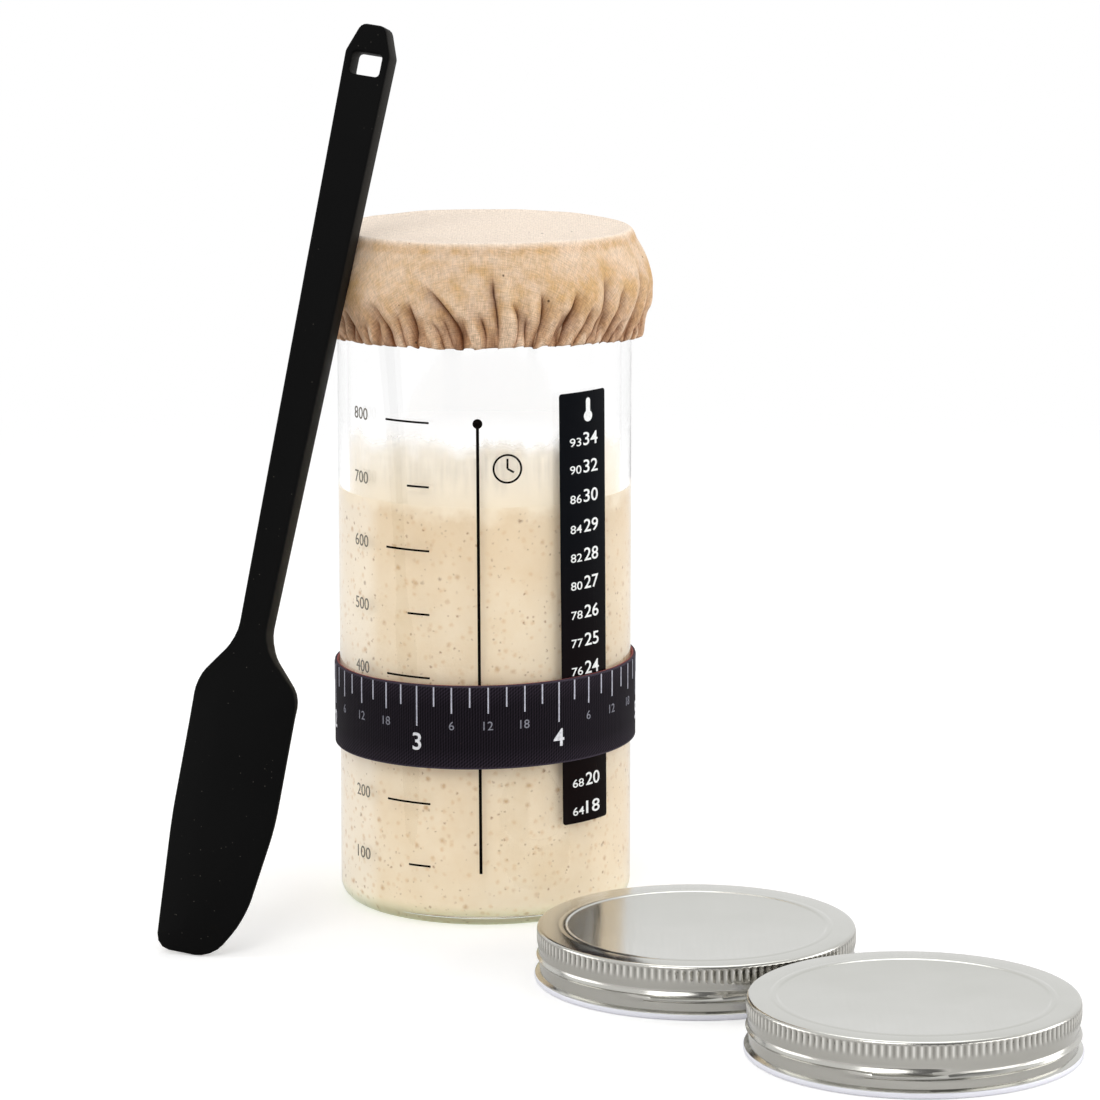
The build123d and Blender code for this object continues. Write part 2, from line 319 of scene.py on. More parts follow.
# Spatula
spatula_length = 275.2
handle_thickness = 7.0
neck_width = 8.7
head_width = 14.2
head_height = 8.6
head_flat = 7.6
head_corner = 2.4
blade_width = 32.0
blade_length = 95.2
blade_thickness = 4.6
blade_edge = 1.5
blade_lens = 13.0
hole_width = 9.2
hole_height = 6.7
hole_corner = 1.3
hole_drop = 8.4
edge_rounding = 0.75
corner_segment = 2.5
edge_steps = 4
edge_limit = 0.4
spatula_gap = 0.93
spatula_azimuth = -55.0
lean_angle = 16.5
lean_heading = 46.6
face_turn = 20.0
bulge_radius = 50.2
bulge_height = 187.0
blade_shares = (
    (-0.355, -0.014, 0.14),
    (0.200, -0.010, 0.30),
    (0.445, 0.130, 0.90),
    (0.555, 0.420, 2.00),
    (0.535, 0.825, 0.25),
)
blade_left_shares = (
    (-0.475, 0.820, 0.38),
    (-0.452, 0.390, 5.00),
)
neck_corner_share = 1.5
neck_right_share = 0.955
neck_left_share = 0.965
neck_start_share = 0.72
neck_run_share = 0.26

# Lines that carry the spatula's lens: axis across them, first, last and step
spatula_cuts = (
    (1, 3, blade_length + 6, 3.0),
    (0, -15, 18, 3.0),
    (1, blade_length + 12, spatula_length, 12.0),
)


# Node materials

def linear(code):
    """Linear colour of an sRGB hex value."""
    channels = [int(code[place:place + 2], 16) / 255 for place in (1, 3, 5)]
    return (*[c / 12.92 if c <= 0.04045 else ((c + 0.055) / 1.055) ** 2.4 for c in channels], 1)


def add(tree, kind, inputs=None, **settings):
    """Add a shader node; inputs are values, sockets, or nodes that give their first live output."""
    made = tree.nodes.new("ShaderNode" + kind)
    for name, value in settings.items():
        setattr(made, name, value)
    for name, value in (inputs or {}).items():
        if isinstance(value, bpy.types.Node):
            value = next(output for output in value.outputs if output.enabled)
        if isinstance(value, bpy.types.NodeSocket):
            tree.links.new(value, made.inputs[name])
        else:
            made.inputs[name].default_value = value
    return made


def finish(name):
    """A new material and its empty node tree."""
    made = bpy.data.materials.new(name)
    made.use_nodes = True
    made.node_tree.nodes.clear()
    return made, made.node_tree


def grain(size):
    """Scale of a noise or cell pattern whose features are this many millimetres."""
    return 1 / (size * MM)


def bands(period):
    """Scale of a wave pattern whose bands are this many millimetres apart."""
    return pi / 10 / (period * MM)


def overlaid(tree, under, code, value, start, full, share=1, **settings):
    """Lay a colour over another: none of it where a value is at start, up to a share of it at full."""
    cover = add(
        tree, "MapRange", {"Value": value, "From Min": start, "From Max": full, "To Max": share}, **settings
    )
    return add(tree, "Mix", {0: cover, 6: under, 7: linear(code)}, data_type="RGBA")


def flecked(tree, under, code, pattern, spacing, edge, core, skipped, share, **settings):
    """Lay a dot of colour in each cell of a pattern, but for the share of cells that is skipped."""
    cell = add(tree, "TexVoronoi", {"Vector": pattern, "Scale": grain(spacing), "Randomness": 1})
    dot = add(
        tree,
        "MapRange",
        {"Value": cell.outputs["Distance"], "From Min": edge, "From Max": core, "To Max": share},
        **settings,
    )
    pick = add(tree, "SeparateColor", {0: cell.outputs["Color"]})
    kept = add(tree, "Math", {0: pick, 1: skipped}, operation="GREATER_THAN")
    mask = add(tree, "Math", {0: dot, 1: kept}, operation="MULTIPLY")
    return add(tree, "Mix", {0: mask, 6: under, 7: linear(code)}, data_type="RGBA")


def soda_lime_glass():
    # Pressed soda-lime jar glass: clear, a little green where it is thick, softly wavy
    made, tree = finish("soda_lime_glass")
    place = add(tree, "TexCoord").outputs["Object"]
    height = add(tree, "SeparateXYZ", {0: place}).outputs["Z"]
    tint = overlaid(tree, linear("#C6DCCC"), "#FFFFFF", height, 0.5 * MM, 4 * MM)
    wave = add(tree, "TexNoise", {"Vector": place, "Scale": grain(22), "Detail": 1})
    ripple = add(tree, "Bump", {"Strength": 0.12, "Distance": 0.4 * MM, "Height": wave})
    glass = add(
        tree,
        "BsdfPrincipled",
        {"Base Color": tint, "Roughness": 0.0, "IOR": 1.5, "Transmission Weight": 1.0, "Normal": ripple},
    )
    clear = add(tree, "BsdfTransparent", {"Color": linear("#FBFDFB")})
    lamps = add(tree, "LightPath").outputs["Is Shadow Ray"]
    mixed = add(tree, "MixShader", {0: lamps, 1: glass, 2: clear})
    add(tree, "OutputMaterial", {"Surface": mixed})
    return made


def starter_dough():
    # Ripe wholemeal starter pressed against glass: cream, warmer towards its top, paler at its left
    # edge as painted light, mottled, with bran specks and pits, and paler where it has risen above its level
    made, tree = finish("sourdough_starter")
    place = add(tree, "TexCoord").outputs["Object"]
    where = add(tree, "SeparateXYZ", {0: place})
    height = where.outputs["Z"]
    mottle = add(tree, "TexNoise", {"Vector": place, "Scale": grain(14), "Detail": 4, "Roughness": 0.6})
    cream = add(tree, "Mix", {0: mottle, 6: linear("#DEC6A2"), 7: linear("#EFE3CD")}, data_type="RGBA")
    warmed = overlaid(tree, cream, "#DCC098", height, 95 * MM, 122 * MM, 0.45)
    # Painted light: the dough grows paler towards its left edge
    colour = overlaid(
        tree, warmed, "#F8F0E2", where.outputs["X"], -29 * MM, -34 * MM, 0.55, interpolation_type="SMOOTHSTEP"
    )
    jitter = add(tree, "TexNoise", {"Vector": place, "Scale": grain(0.9), "Detail": 2})
    shift = add(tree, "VectorMath", {0: jitter.outputs["Color"], "Scale": 0.9 * MM}, operation="SCALE")
    ragged = add(tree, "VectorMath", {0: place, 1: shift}, operation="ADD")
    specks = (
        ("#D6B486", 2.6, 0.42, 0.35, 0.6),
        ("#BF9766", 4.6, 0.28, 0.4, 0.75),
        ("#A88C68", 1.9, 0.24, 0.45, 0.8),
        ("#A07850", 3.3, 0.2, 0.4, 0.9),
        ("#8A6640", 7.5, 0.13, 0.3, 0.9),
    )
    for code, spacing, edge, skipped, share in specks:
        colour = flecked(
            tree, colour, code, ragged, spacing, edge, 0, skipped, share, interpolation_type="SMOOTHSTEP"
        )
    uneven = add(tree, "TexNoise", {"Vector": place, "Scale": grain(9), "Detail": 3})
    level = add(tree, "Math", {0: uneven, 1: 16 * MM, 2: height}, operation="MULTIPLY_ADD")
    skinned = overlaid(tree, colour, "#F2E3CA", level, 129.5 * MM, 134 * MM)
    fine = add(tree, "TexNoise", {"Vector": place, "Scale": grain(1.6), "Detail": 3})
    dents = add(tree, "Bump", {"Strength": 0.35, "Distance": 0.4 * MM, "Height": fine})
    wet = add(tree, "MapRange", {"Value": fine, "To Min": 0.42, "To Max": 0.6})
    dough = add(tree, "BsdfPrincipled", {"Base Color": skinned, "Roughness": wet, "Normal": dents})
    add(tree, "OutputMaterial", {"Surface": dough})
    return made


def starter_smear():
    # Thin starter left on the glass as it sank: milky, streaked, fading upwards to a wavy edge
    # that lies lower towards the back. Light comes through it, so it stays bright from both sides.
    made, tree = finish("starter_smear")
    place = add(tree, "TexCoord").outputs["Object"]
    where = add(tree, "SeparateXYZ", {0: place})
    height = where.outputs["Z"]
    around = add(tree, "Mapping", {"Vector": place, "Scale": (1, 1, 0.15)})
    runs = add(tree, "TexNoise", {"Vector": around, "Scale": grain(9), "Detail": 1, "Roughness": 0.4})
    streaked = add(tree, "Mapping", {"Vector": place, "Scale": (1, 1, 0.12)})
    streaks = add(tree, "TexNoise", {"Vector": streaked, "Scale": grain(3), "Detail": 2})
    reach = add(
        tree,
        "MapRange",
        {"Value": runs, "From Min": 0.25, "From Max": 0.75, "To Min": 146 * MM, "To Max": 151 * MM},
        interpolation_type="SMOOTHSTEP",
    )
    back = add(
        tree,
        "MapRange",
        {"Value": where.outputs["Y"], "From Min": -20 * MM, "From Max": 15 * MM, "To Max": 17 * MM},
    )
    wisp = add(tree, "MapRange", {"Value": streaks, "From Min": 0.3, "From Max": 0.7, "To Max": 2.5 * MM})
    lower = add(tree, "Math", {0: back, 1: wisp}, operation="ADD")
    edge = add(tree, "Math", {0: reach, 1: lower}, operation="SUBTRACT")
    below = add(tree, "Math", {0: edge, 1: height}, operation="SUBTRACT")
    body = add(
        tree,
        "MapRange",
        {"Value": below, "From Min": -2 * MM, "From Max": 6 * MM},
        interpolation_type="SMOOTHSTEP",
    )
    thick = add(
        tree,
        "MapRange",
        {"Value": height, "From Min": 140 * MM, "From Max": 150 * MM, "To Min": 0.97, "To Max": 0.4},
    )
    kept = add(tree, "Math", {0: body, 1: thick}, operation="MULTIPLY")
    thin = add(tree, "MapRange", {"Value": streaks, "From Min": 0.3, "From Max": 0.55, "To Min": 0.72})
    above = add(tree, "MapRange", {"Value": height, "From Min": 129 * MM, "From Max": 137 * MM})
    uneven = add(tree, "Mix", {0: above, 2: 1.0, 3: thin})
    alpha = add(tree, "Math", {0: kept, 1: uneven}, operation="MULTIPLY")
    colour = overlaid(tree, linear("#F2E3CA"), "#F6EEE2", height, 127 * MM, 146 * MM)
    front = add(tree, "BsdfPrincipled", {"Base Color": colour, "Roughness": 0.6})
    glow = add(tree, "BsdfTranslucent", {"Color": colour})
    milky = add(tree, "MixShader", {0: 0.15, 1: front, 2: glow})
    clear = add(tree, "BsdfTransparent", {"Color": linear("#FFFFFF")})
    smear = add(tree, "MixShader", {0: alpha, 1: clear, 2: milky})
    add(tree, "OutputMaterial", {"Surface": smear})
    return made


def enamel_ink(name, code, worn):
    # Screen-printed ink: matt, solid, with a faint unevenness where the mesh left less of it
    made, tree = finish(name)
    place = add(tree, "TexCoord").outputs["Object"]
    uneven = add(tree, "TexNoise", {"Vector": place, "Scale": grain(0.7), "Detail": 3})
    colour = overlaid(tree, linear(code), worn, uneven, 0.45, 0.75)
    ink = add(tree, "BsdfPrincipled", {"Base Color": colour, "Roughness": 0.6, "Specular IOR Level": 0.02})
    add(tree, "OutputMaterial", {"Surface": ink})
    return made


def strip_film():
    # Glossy black polyester film over liquid crystal windows, which show a trace of colour
    made, tree = finish("polyester_film")
    place = add(tree, "TexCoord").outputs["Object"]
    height = add(tree, "SeparateXYZ", {0: place}).outputs["Z"]
    hue = overlaid(tree, linear("#0E0606"), "#05070C", height, 66 * MM, 116 * MM)
    haze = add(tree, "TexNoise", {"Vector": place, "Scale": grain(5), "Detail": 2})
    gloss = add(tree, "MapRange", {"Value": haze, "To Min": 0.16, "To Max": 0.3})
    film = add(tree, "BsdfPrincipled", {"Base Color": hue, "Roughness": gloss, "Specular IOR Level": 0.04})
    add(tree, "OutputMaterial", {"Surface": film})
    return made


def linen():
    # Unbleached linen and cotton plain weave: warm tan, slubby, with seed flecks. Painted light makes
    # its upward-facing top paler; painted shade browns it towards the hem and in its creases, and a
    # painted highlight lies on its fold lips. Its threads are 0.35 mm apart and are drawn at 0.7 mm,
    # because finer ones don't show.
    made, tree = finish("unbleached_linen")
    cut = add(tree, "UVMap", uv_map="cut").outputs[0]
    place = add(tree, "TexCoord").outputs["Object"]
    height = add(tree, "SeparateXYZ", {0: place}).outputs["Z"]
    facing = add(tree, "SeparateXYZ", {0: add(tree, "NewGeometry").outputs["Normal"]}).outputs["Z"]
    threads = []
    for direction in ("X", "Y"):
        thread = add(
            tree,
            "TexWave",
            {"Vector": cut, "Scale": bands(0.7), "Distortion": 2.5, "Detail": 2, "Detail Scale": 1.2},
            bands_direction=direction,
        )
        threads.append(thread.outputs["Fac"])
    weave = add(tree, "Math", {0: threads[0], 1: threads[1]}, operation="MULTIPLY")
    slubs = []
    for stretch in ((1, 0.2, 1), (0.2, 1, 1)):
        pulled = add(tree, "Mapping", {"Vector": cut, "Scale": stretch})
        slubs.append(add(tree, "TexNoise", {"Vector": pulled, "Scale": grain(0.5), "Detail": 4}))
    slubby = add(tree, "Math", {0: slubs[0], 1: slubs[1]}, operation="ADD")
    patch = add(tree, "TexNoise", {"Vector": cut, "Scale": grain(11), "Detail": 4, "Roughness": 0.65})
    ground = overlaid(tree, linear("#E2C5A8"), "#D3AC7C", patch, 0.38, 0.62)
    # Painted shade: the skirt grows darker and browner towards the hem; the same share coarsens its texture
    low = add(tree, "MapRange", {"Value": height, "From Min": 190 * MM, "From Max": 176 * MM, "To Max": 0.68})
    lower_painted_shade = add(tree, "Mix", {0: low, 6: ground, 7: linear("#BE9272")}, data_type="RGBA")
    # Painted light: faces turned up are paler, and their weave calmer
    top_painted_light_share = add(tree, "MapRange", {"Value": facing, "From Min": 0.35, "From Max": 0.98, "To Max": 0.92})
    top = add(tree, "Mix", {0: top_painted_light_share, 6: lower_painted_shade, 7: linear("#FFF0E0")}, data_type="RGBA")
    # Painted shade in the creases and painted highlight on the fold lips, from the crease attribute
    crease = add(tree, "Attribute", attribute_name="crease").outputs["Fac"]
    crease_painted_shade = overlaid(tree, top, "#74421F", crease, 0.06, 0.85, 0.92)
    lip_painted_highlight = overlaid(tree, crease_painted_shade, "#F0D6BA", crease, -0.02, -0.3, 0.55)
    shade = add(tree, "MapRange", {"Value": weave, "To Min": -0.06, "To Max": 0.05})
    yarn = add(
        tree,
        "MapRange",
        {"Value": slubby, "From Min": 0.75, "From Max": 1.25, "To Min": -0.17, "To Max": 0.15},
    )
    grey = add(tree, "Math", {0: shade, 1: yarn}, operation="ADD")
    coarse = add(tree, "Math", {0: low, 1: 1.1, 2: 1.0}, operation="MULTIPLY_ADD")
    drawn_up = add(tree, "Math", {0: grey, 1: coarse}, operation="MULTIPLY")
    calm = add(tree, "Math", {0: 1.0, 1: top_painted_light_share}, operation="SUBTRACT")
    soft = add(tree, "MapRange", {"Value": calm, "From Min": 0.15, "To Min": 0.75})
    tone = add(tree, "Math", {0: drawn_up, 1: soft, 2: 1.0}, operation="MULTIPLY_ADD")
    colour = add(tree, "VectorMath", {0: lip_painted_highlight, "Scale": tone}, operation="SCALE")
    flecks = (("#4E3C2C", 9, 0.06, 0.5), ("#A55A3E", 5, 0.05, 0.72), ("#6B4A32", 7, 0.05, 0.7))
    for code, spacing, edge, skipped in flecks:
        colour = flecked(tree, colour, code, cut, spacing, edge, 0.6 * edge, skipped, 0.85)
    relief = add(tree, "Math", {0: weave, 1: slubby}, operation="ADD")
    bump = add(tree, "Bump", {"Strength": 0.45, "Distance": 0.2 * MM, "Height": relief})
    cloth = add(
        tree,
        "BsdfPrincipled",
        {
            "Base Color": colour,
            "Roughness": 0.9,
            "Specular IOR Level": 0.15,
            "Sheen Weight": 0.04,
            "Normal": bump,
        },
    )
    add(tree, "OutputMaterial", {"Surface": cloth})
    return made


def webbing():
    # Woven polyester elastic: near-black with a purple cast, fine upright ribs, a diagonal twill
    # by its edges and a paler selvedge. Ribs and twill are drawn at 0.8 mm, so that they show.
    made, tree = finish("woven_elastic")
    weave = add(tree, "UVMap", uv_map="weave").outputs[0]
    across = add(tree, "SeparateXYZ", {0: weave}).outputs["Y"]
    edge = add(tree, "Math", {0: across}, operation="ABSOLUTE")
    ribs = add(
        tree,
        "TexWave",
        {"Vector": weave, "Scale": bands(0.8), "Distortion": 1.0, "Detail": 1},
        bands_direction="X",
    )
    slanted = add(tree, "Mapping", {"Vector": weave, "Rotation": (0, 0, radians(52))})
    twill = add(
        tree, "TexWave", {"Vector": slanted, "Scale": bands(0.85), "Distortion": 0.6}, bands_direction="X"
    )
    by_edge = add(
        tree, "MapRange", {"Value": edge, "From Min": 6.5 * MM, "From Max": 11 * MM, "To Min": 0.25}
    )
    slant = add(tree, "Math", {0: twill.outputs["Fac"], 1: by_edge}, operation="MULTIPLY")
    thread = add(tree, "Mix", {0: 0.55, 2: ribs.outputs["Fac"], 3: slant})
    ground = add(tree, "Mix", {0: thread, 6: linear("#010102"), 7: linear("#332C36")}, data_type="RGBA")
    colour = overlaid(tree, ground, "#4E4652", edge, 11.9 * MM, 12.3 * MM, 0.6)
    bump = add(tree, "Bump", {"Strength": 0.6, "Distance": 0.15 * MM, "Height": thread})
    cloth = add(
        tree,
        "BsdfPrincipled",
        {
            "Base Color": colour,
            "Roughness": 0.8,
            "Specular IOR Level": 0.05,
            "Sheen Weight": 0.02,
            "Normal": bump,
        },
    )
    add(tree, "OutputMaterial", {"Surface": cloth})
    return made


def woven(name, code, dark, period):
    # Plain narrow woven tape, matt, with its threads across
    made, tree = finish(name)
    place = add(tree, "TexCoord").outputs["Object"]
    thread = add(
        tree, "TexWave", {"Vector": place, "Scale": bands(period), "Distortion": 1.5}, bands_direction="Z"
    ).outputs["Fac"]
    colour = add(tree, "Mix", {0: thread, 6: linear(dark), 7: linear(code)}, data_type="RGBA")
    bump = add(tree, "Bump", {"Strength": 0.4, "Distance": 0.1 * MM, "Height": thread})
    cloth = add(
        tree,
        "BsdfPrincipled",
        {"Base Color": colour, "Roughness": 0.85, "Sheen Weight": 0.1, "Normal": bump},
    )
    add(tree, "OutputMaterial", {"Surface": cloth})
    return made


def tinplate():
    # Rolled and stamped tinplate: satin, with faint rolling grain, so reflections are soft; the
    # top keeps the sheet's gloss, the drawn sides are duller and painted darker as shade, and the
    # knurls carry a painted highlight on their crests and painted shade in their grooves
    made, tree = finish("rolled_tinplate")
    place = add(tree, "TexCoord").outputs["Object"]
    facing = add(tree, "SeparateXYZ", {0: add(tree, "NewGeometry").outputs["Normal"]}).outputs["Z"]
    drawn = add(tree, "MapRange", {"Value": facing, "From Min": 0.85, "From Max": 0.35})
    rolled = add(tree, "Mapping", {"Vector": place, "Scale": (1, 0.03, 1), "Rotation": (0, 0, radians(20))})
    lines = add(tree, "TexNoise", {"Vector": rolled, "Scale": grain(0.8), "Detail": 4, "Roughness": 0.65})
    cloud = add(tree, "TexNoise", {"Vector": place, "Scale": grain(16), "Detail": 2})
    top = add(tree, "Mix", {0: cloud, 6: linear("#BFBFB9"), 7: linear("#C8C8C3")}, data_type="RGBA")
    # Painted shade: the upright sides are darker than the top; the same mask also makes them duller
    sides_painted_shade = add(tree, "Mix", {0: drawn, 6: top, 7: linear("#B6B4AE")}, data_type="RGBA")
    knurl_painted_light = add(tree, "Attribute", attribute_name="knurl_painted_light").outputs["Fac"]
    # Painted shade in the knurls' grooves and painted highlight on their crests
    groove_painted_shade = overlaid(tree, sides_painted_shade, "#807E79", knurl_painted_light, 0, -1, 0.75)
    colour = overlaid(tree, groove_painted_shade, "#F1EFEA", knurl_painted_light, 0.25, 1, 0.9)
    gloss = add(
        tree, "MapRange", {"Value": lines, "From Min": 0.3, "From Max": 0.7, "To Min": 0.13, "To Max": 0.2}
    )
    dull = add(tree, "Mix", {0: drawn, 2: gloss, 3: 0.2})
    bump = add(tree, "Bump", {"Strength": 0.05, "Distance": 0.05 * MM, "Height": lines})
    metal = add(
        tree, "BsdfPrincipled", {"Base Color": colour, "Metallic": 1.0, "Roughness": dull, "Normal": bump}
    )
    add(tree, "OutputMaterial", {"Surface": metal})
    return made


def smooth_plastic(name, code, other, size, roughness, relief):
    # Moulded or lacquered skin: even colour with a faint mottle, and a soft gloss
    made, tree = finish(name)
    place = add(tree, "TexCoord").outputs["Object"]
    mottle = add(tree, "TexNoise", {"Vector": place, "Scale": grain(size), "Detail": 3})
    colour = add(tree, "Mix", {0: mottle, 6: linear(code), 7: linear(other)}, data_type="RGBA")
    bump = add(tree, "Bump", {"Strength": relief, "Distance": 0.1 * MM, "Height": mottle})
    skin = add(tree, "BsdfPrincipled", {"Base Color": colour, "Roughness": roughness, "Normal": bump})
    add(tree, "OutputMaterial", {"Surface": skin})
    return made


def silicone():
    # Moulded silicone rubber: soot black, soft satin sheen, with the dust that it holds, and painted
    # light that makes its side facing right a lighter grey
    made, tree = finish("silicone_rubber")
    coordinates = add(tree, "TexCoord")
    place = coordinates.outputs["Object"]
    fine = add(tree, "TexNoise", {"Vector": place, "Scale": grain(0.5), "Detail": 2})
    film = add(tree, "TexNoise", {"Vector": place, "Scale": grain(25), "Detail": 3})
    body = add(tree, "Mix", {0: film, 6: linear("#040404"), 7: linear("#0B0B0B")}, data_type="RGBA")
    sideways = add(tree, "SeparateXYZ", {0: coordinates.outputs["Normal"]}).outputs["X"]
    # Painted light: faces turned to the right are lightened to grey
    right_side_painted_light = overlaid(tree, body, "#262421", sideways, 0.5, 0.95, 0.8)
    colour = flecked(tree, right_side_painted_light, "#6E6A62", place, 1.9, 0.1, 0.03, 0.72, 0.5)
    gloss = add(tree, "MapRange", {"Value": film, "To Min": 0.5, "To Max": 0.64})
    bump = add(tree, "Bump", {"Strength": 0.1, "Distance": 0.05 * MM, "Height": fine})
    rubber = add(
        tree,
        "BsdfPrincipled",
        {"Base Color": colour, "Roughness": gloss, "Specular IOR Level": 0.05, "Normal": bump},
    )
    add(tree, "OutputMaterial", {"Surface": rubber})
    return made


def pale_floor():
    # Matt white table that turns into the white background some way from the object. It keeps
    # its shadows, and glows a little where it is seen straight and more through the glass.
    made, tree = finish("white_table")
    place = add(tree, "TexCoord").outputs["Object"]
    away = add(tree, "VectorMath", {0: place}, operation="LENGTH")
    far = add(tree, "MapRange", {"Value": away, "From Min": 0.35, "From Max": 0.9})
    fleck = add(tree, "TexNoise", {"Vector": place, "Scale": grain(2), "Detail": 2})
    tone = add(tree, "Mix", {0: fleck, 6: linear("#EDEDEC"), 7: linear("#F0F0F0")}, data_type="RGBA")
    matt = add(tree, "BsdfDiffuse", {"Color": tone})
    path = add(tree, "LightPath")
    camera = path.outputs["Is Camera Ray"]
    through = path.outputs["Is Transmission Ray"]
    seen = add(tree, "Math", {0: camera, 1: path.outputs["Is Glossy Ray"]}, operation="ADD")
    shown = add(tree, "Math", {0: seen, 1: through}, operation="ADD", use_clamp=True)
    direct = add(tree, "Math", {0: camera, 1: 0.3}, operation="MULTIPLY")
    lift = add(tree, "Math", {0: through, 1: 0.9, 2: direct}, operation="MULTIPLY_ADD")
    glow = add(tree, "Emission", {"Color": linear("#FFFFFF"), "Strength": lift})
    near = add(tree, "AddShader", {0: matt, 1: glow})
    white = add(tree, "Emission", {"Color": linear("#FFFFFF"), "Strength": shown})
    fade = add(tree, "Math", {0: far, 1: shown}, operation="MULTIPLY")
    mixed = add(tree, "MixShader", {0: fade, 1: near, 2: white})
    add(tree, "OutputMaterial", {"Surface": mixed})
    return made


GLASS = soda_lime_glass()
DOUGH = starter_dough()
SMEAR = starter_smear()
BLACK_INK = enamel_ink("black_enamel_ink", "#080504", "#1E1814")
NUMBER_INK = enamel_ink("thin_black_enamel_ink", "#77726A", "#989288")
STRIP_INK = enamel_ink("white_enamel_ink", "#F2F3F2", "#DDE0DE")
HOUR_INK = enamel_ink("grey_transfer_ink", "#8A8A94", "#6A6A74")
DAY_INK = enamel_ink("white_transfer_ink", "#E6E6EA", "#BEBEC6")
TICK_INK = enamel_ink("silver_transfer_ink", "#C4C4D0", "#A2A2B0")
STRIP_FILM = strip_film()
LINEN = linen()
WEBBING = webbing()
LINING = woven("red_woven_tape", "#A8403A", "#7E2A2A", 0.5)
SEAM = woven("black_woven_tape", "#2A2630", "#121015", 0.5)
ELASTIC = woven("white_elastic_tape", "#E6E1D8", "#BDB6AA", 0.6)
TINPLATE = tinplate()
LACQUER = smooth_plastic("white_lacquer", "#EDEDF4", "#E2E2EC", 9, 0.35, 0.1)
COMPOUND = smooth_plastic("sealing_compound", "#E4E2DC", "#CFCCC4", 4, 0.5, 0.2)
SILICONE = silicone()
NYLON = smooth_plastic("core_nylon", "#D9D4C6", "#CCC6B6", 3, 0.5, 0.2)


# Shaping

def piece(name, bm, finishes, body, replaces=(), sharp=40):
    """Turn a bmesh in millimetres into a piece that rides on a body."""
    bmesh.ops.scale(bm, vec=(MM, MM, MM), verts=bm.verts)
    mesh = bpy.data.meshes.new(name)
    bm.to_mesh(mesh)
    bm.free()
    for material in finishes:
        mesh.materials.append(material)
    mesh.shade_smooth()
    mesh.set_sharp_from_angle(angle=radians(sharp))
    made = bpy.data.objects.new(name, mesh)
    bpy.context.scene.collection.objects.link(made)
    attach(made, body)
    if replaces:
        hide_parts(*replaces)
    return made


def turned(outline, steps, closed=False, rounding=5, numbered=False):
    """bmesh of an outline of (radius, height, corner) turned round the upright axis.

    Its corners are rounded flat, and an eighth of the turn is spun and then copied round."""
    bm = bmesh.new()
    order = bm.verts.layers.int.new("row") if numbered else None
    points = [bm.verts.new((radius, 0, height)) for radius, height, corner in outline]
    if numbered:
        for place, point in enumerate(points):
            point[order] = place
    if any(corner for radius, height, corner in outline):
        bm.faces.new(points)
        for point, (radius, height, corner) in zip(points, outline):
            if corner:
                bmesh.ops.bevel(
                    bm,
                    geom=[point],
                    offset=corner,
                    segments=rounding,
                    profile=0.5,
                    affect="VERTICES",
                    material=-1,
                    clamp_overlap=False,
                )
        bmesh.ops.delete(bm, geom=bm.faces[:], context="FACES_ONLY")
        if not closed:
            on_axis = [edge for edge in bm.edges if all(vert.co.x < NEAR for vert in edge.verts)]
            bmesh.ops.delete(bm, geom=on_axis, context="EDGES")
    else:
        for pair in zip(points, points[1:]):
            bm.edges.new(pair)
    bmesh.ops.spin(
        bm,
        geom=bm.verts[:] + bm.edges[:],
        axis=(0, 0, 1),
        cent=(0, 0, 0),
        angle=pi / 4,
        steps=steps // 8,
    )
    for turn in (pi / 4, pi / 2, pi):
        copied = bmesh.ops.duplicate(bm, geom=bm.verts[:] + bm.edges[:] + bm.faces[:])["geom"]
        moved = [part for part in copied if isinstance(part, bmesh.types.BMVert)]
        bmesh.ops.rotate(bm, cent=(0, 0, 0), matrix=Matrix.Rotation(turn, 3, "Z"), verts=moved)
    bmesh.ops.remove_doubles(bm, verts=bm.verts, dist=NEAR / 10)
    bmesh.ops.recalc_face_normals(bm, faces=bm.faces)
    return bm


def sliced(bm, step):
    """Cut a flat bmesh across at even steps, so that it can be wrapped."""
    reach = [vert.co.x for vert in bm.verts]
    for cut in range(ceil(min(reach) / step), floor(max(reach) / step) + 1):
        bmesh.ops.bisect_plane(
            bm,
            geom=bm.verts[:] + bm.edges[:] + bm.faces[:],
            dist=NEAR / 100,
            plane_co=(cut * step, 0, 0),
            plane_no=(1, 0, 0),
        )


def wrapped(bm, radius, tilt=0):
    """Wrap a flat bmesh round the jar: x runs along its side, y up and z outwards."""
    for vert in bm.verts:
        along, up, out = vert.co
        azimuth = along / radius
        rise = radius * sin(azimuth) * tan(radians(tilt))
        vert.co = ((radius + out) * sin(azimuth), -(radius + out) * cos(azimuth), up + rise)


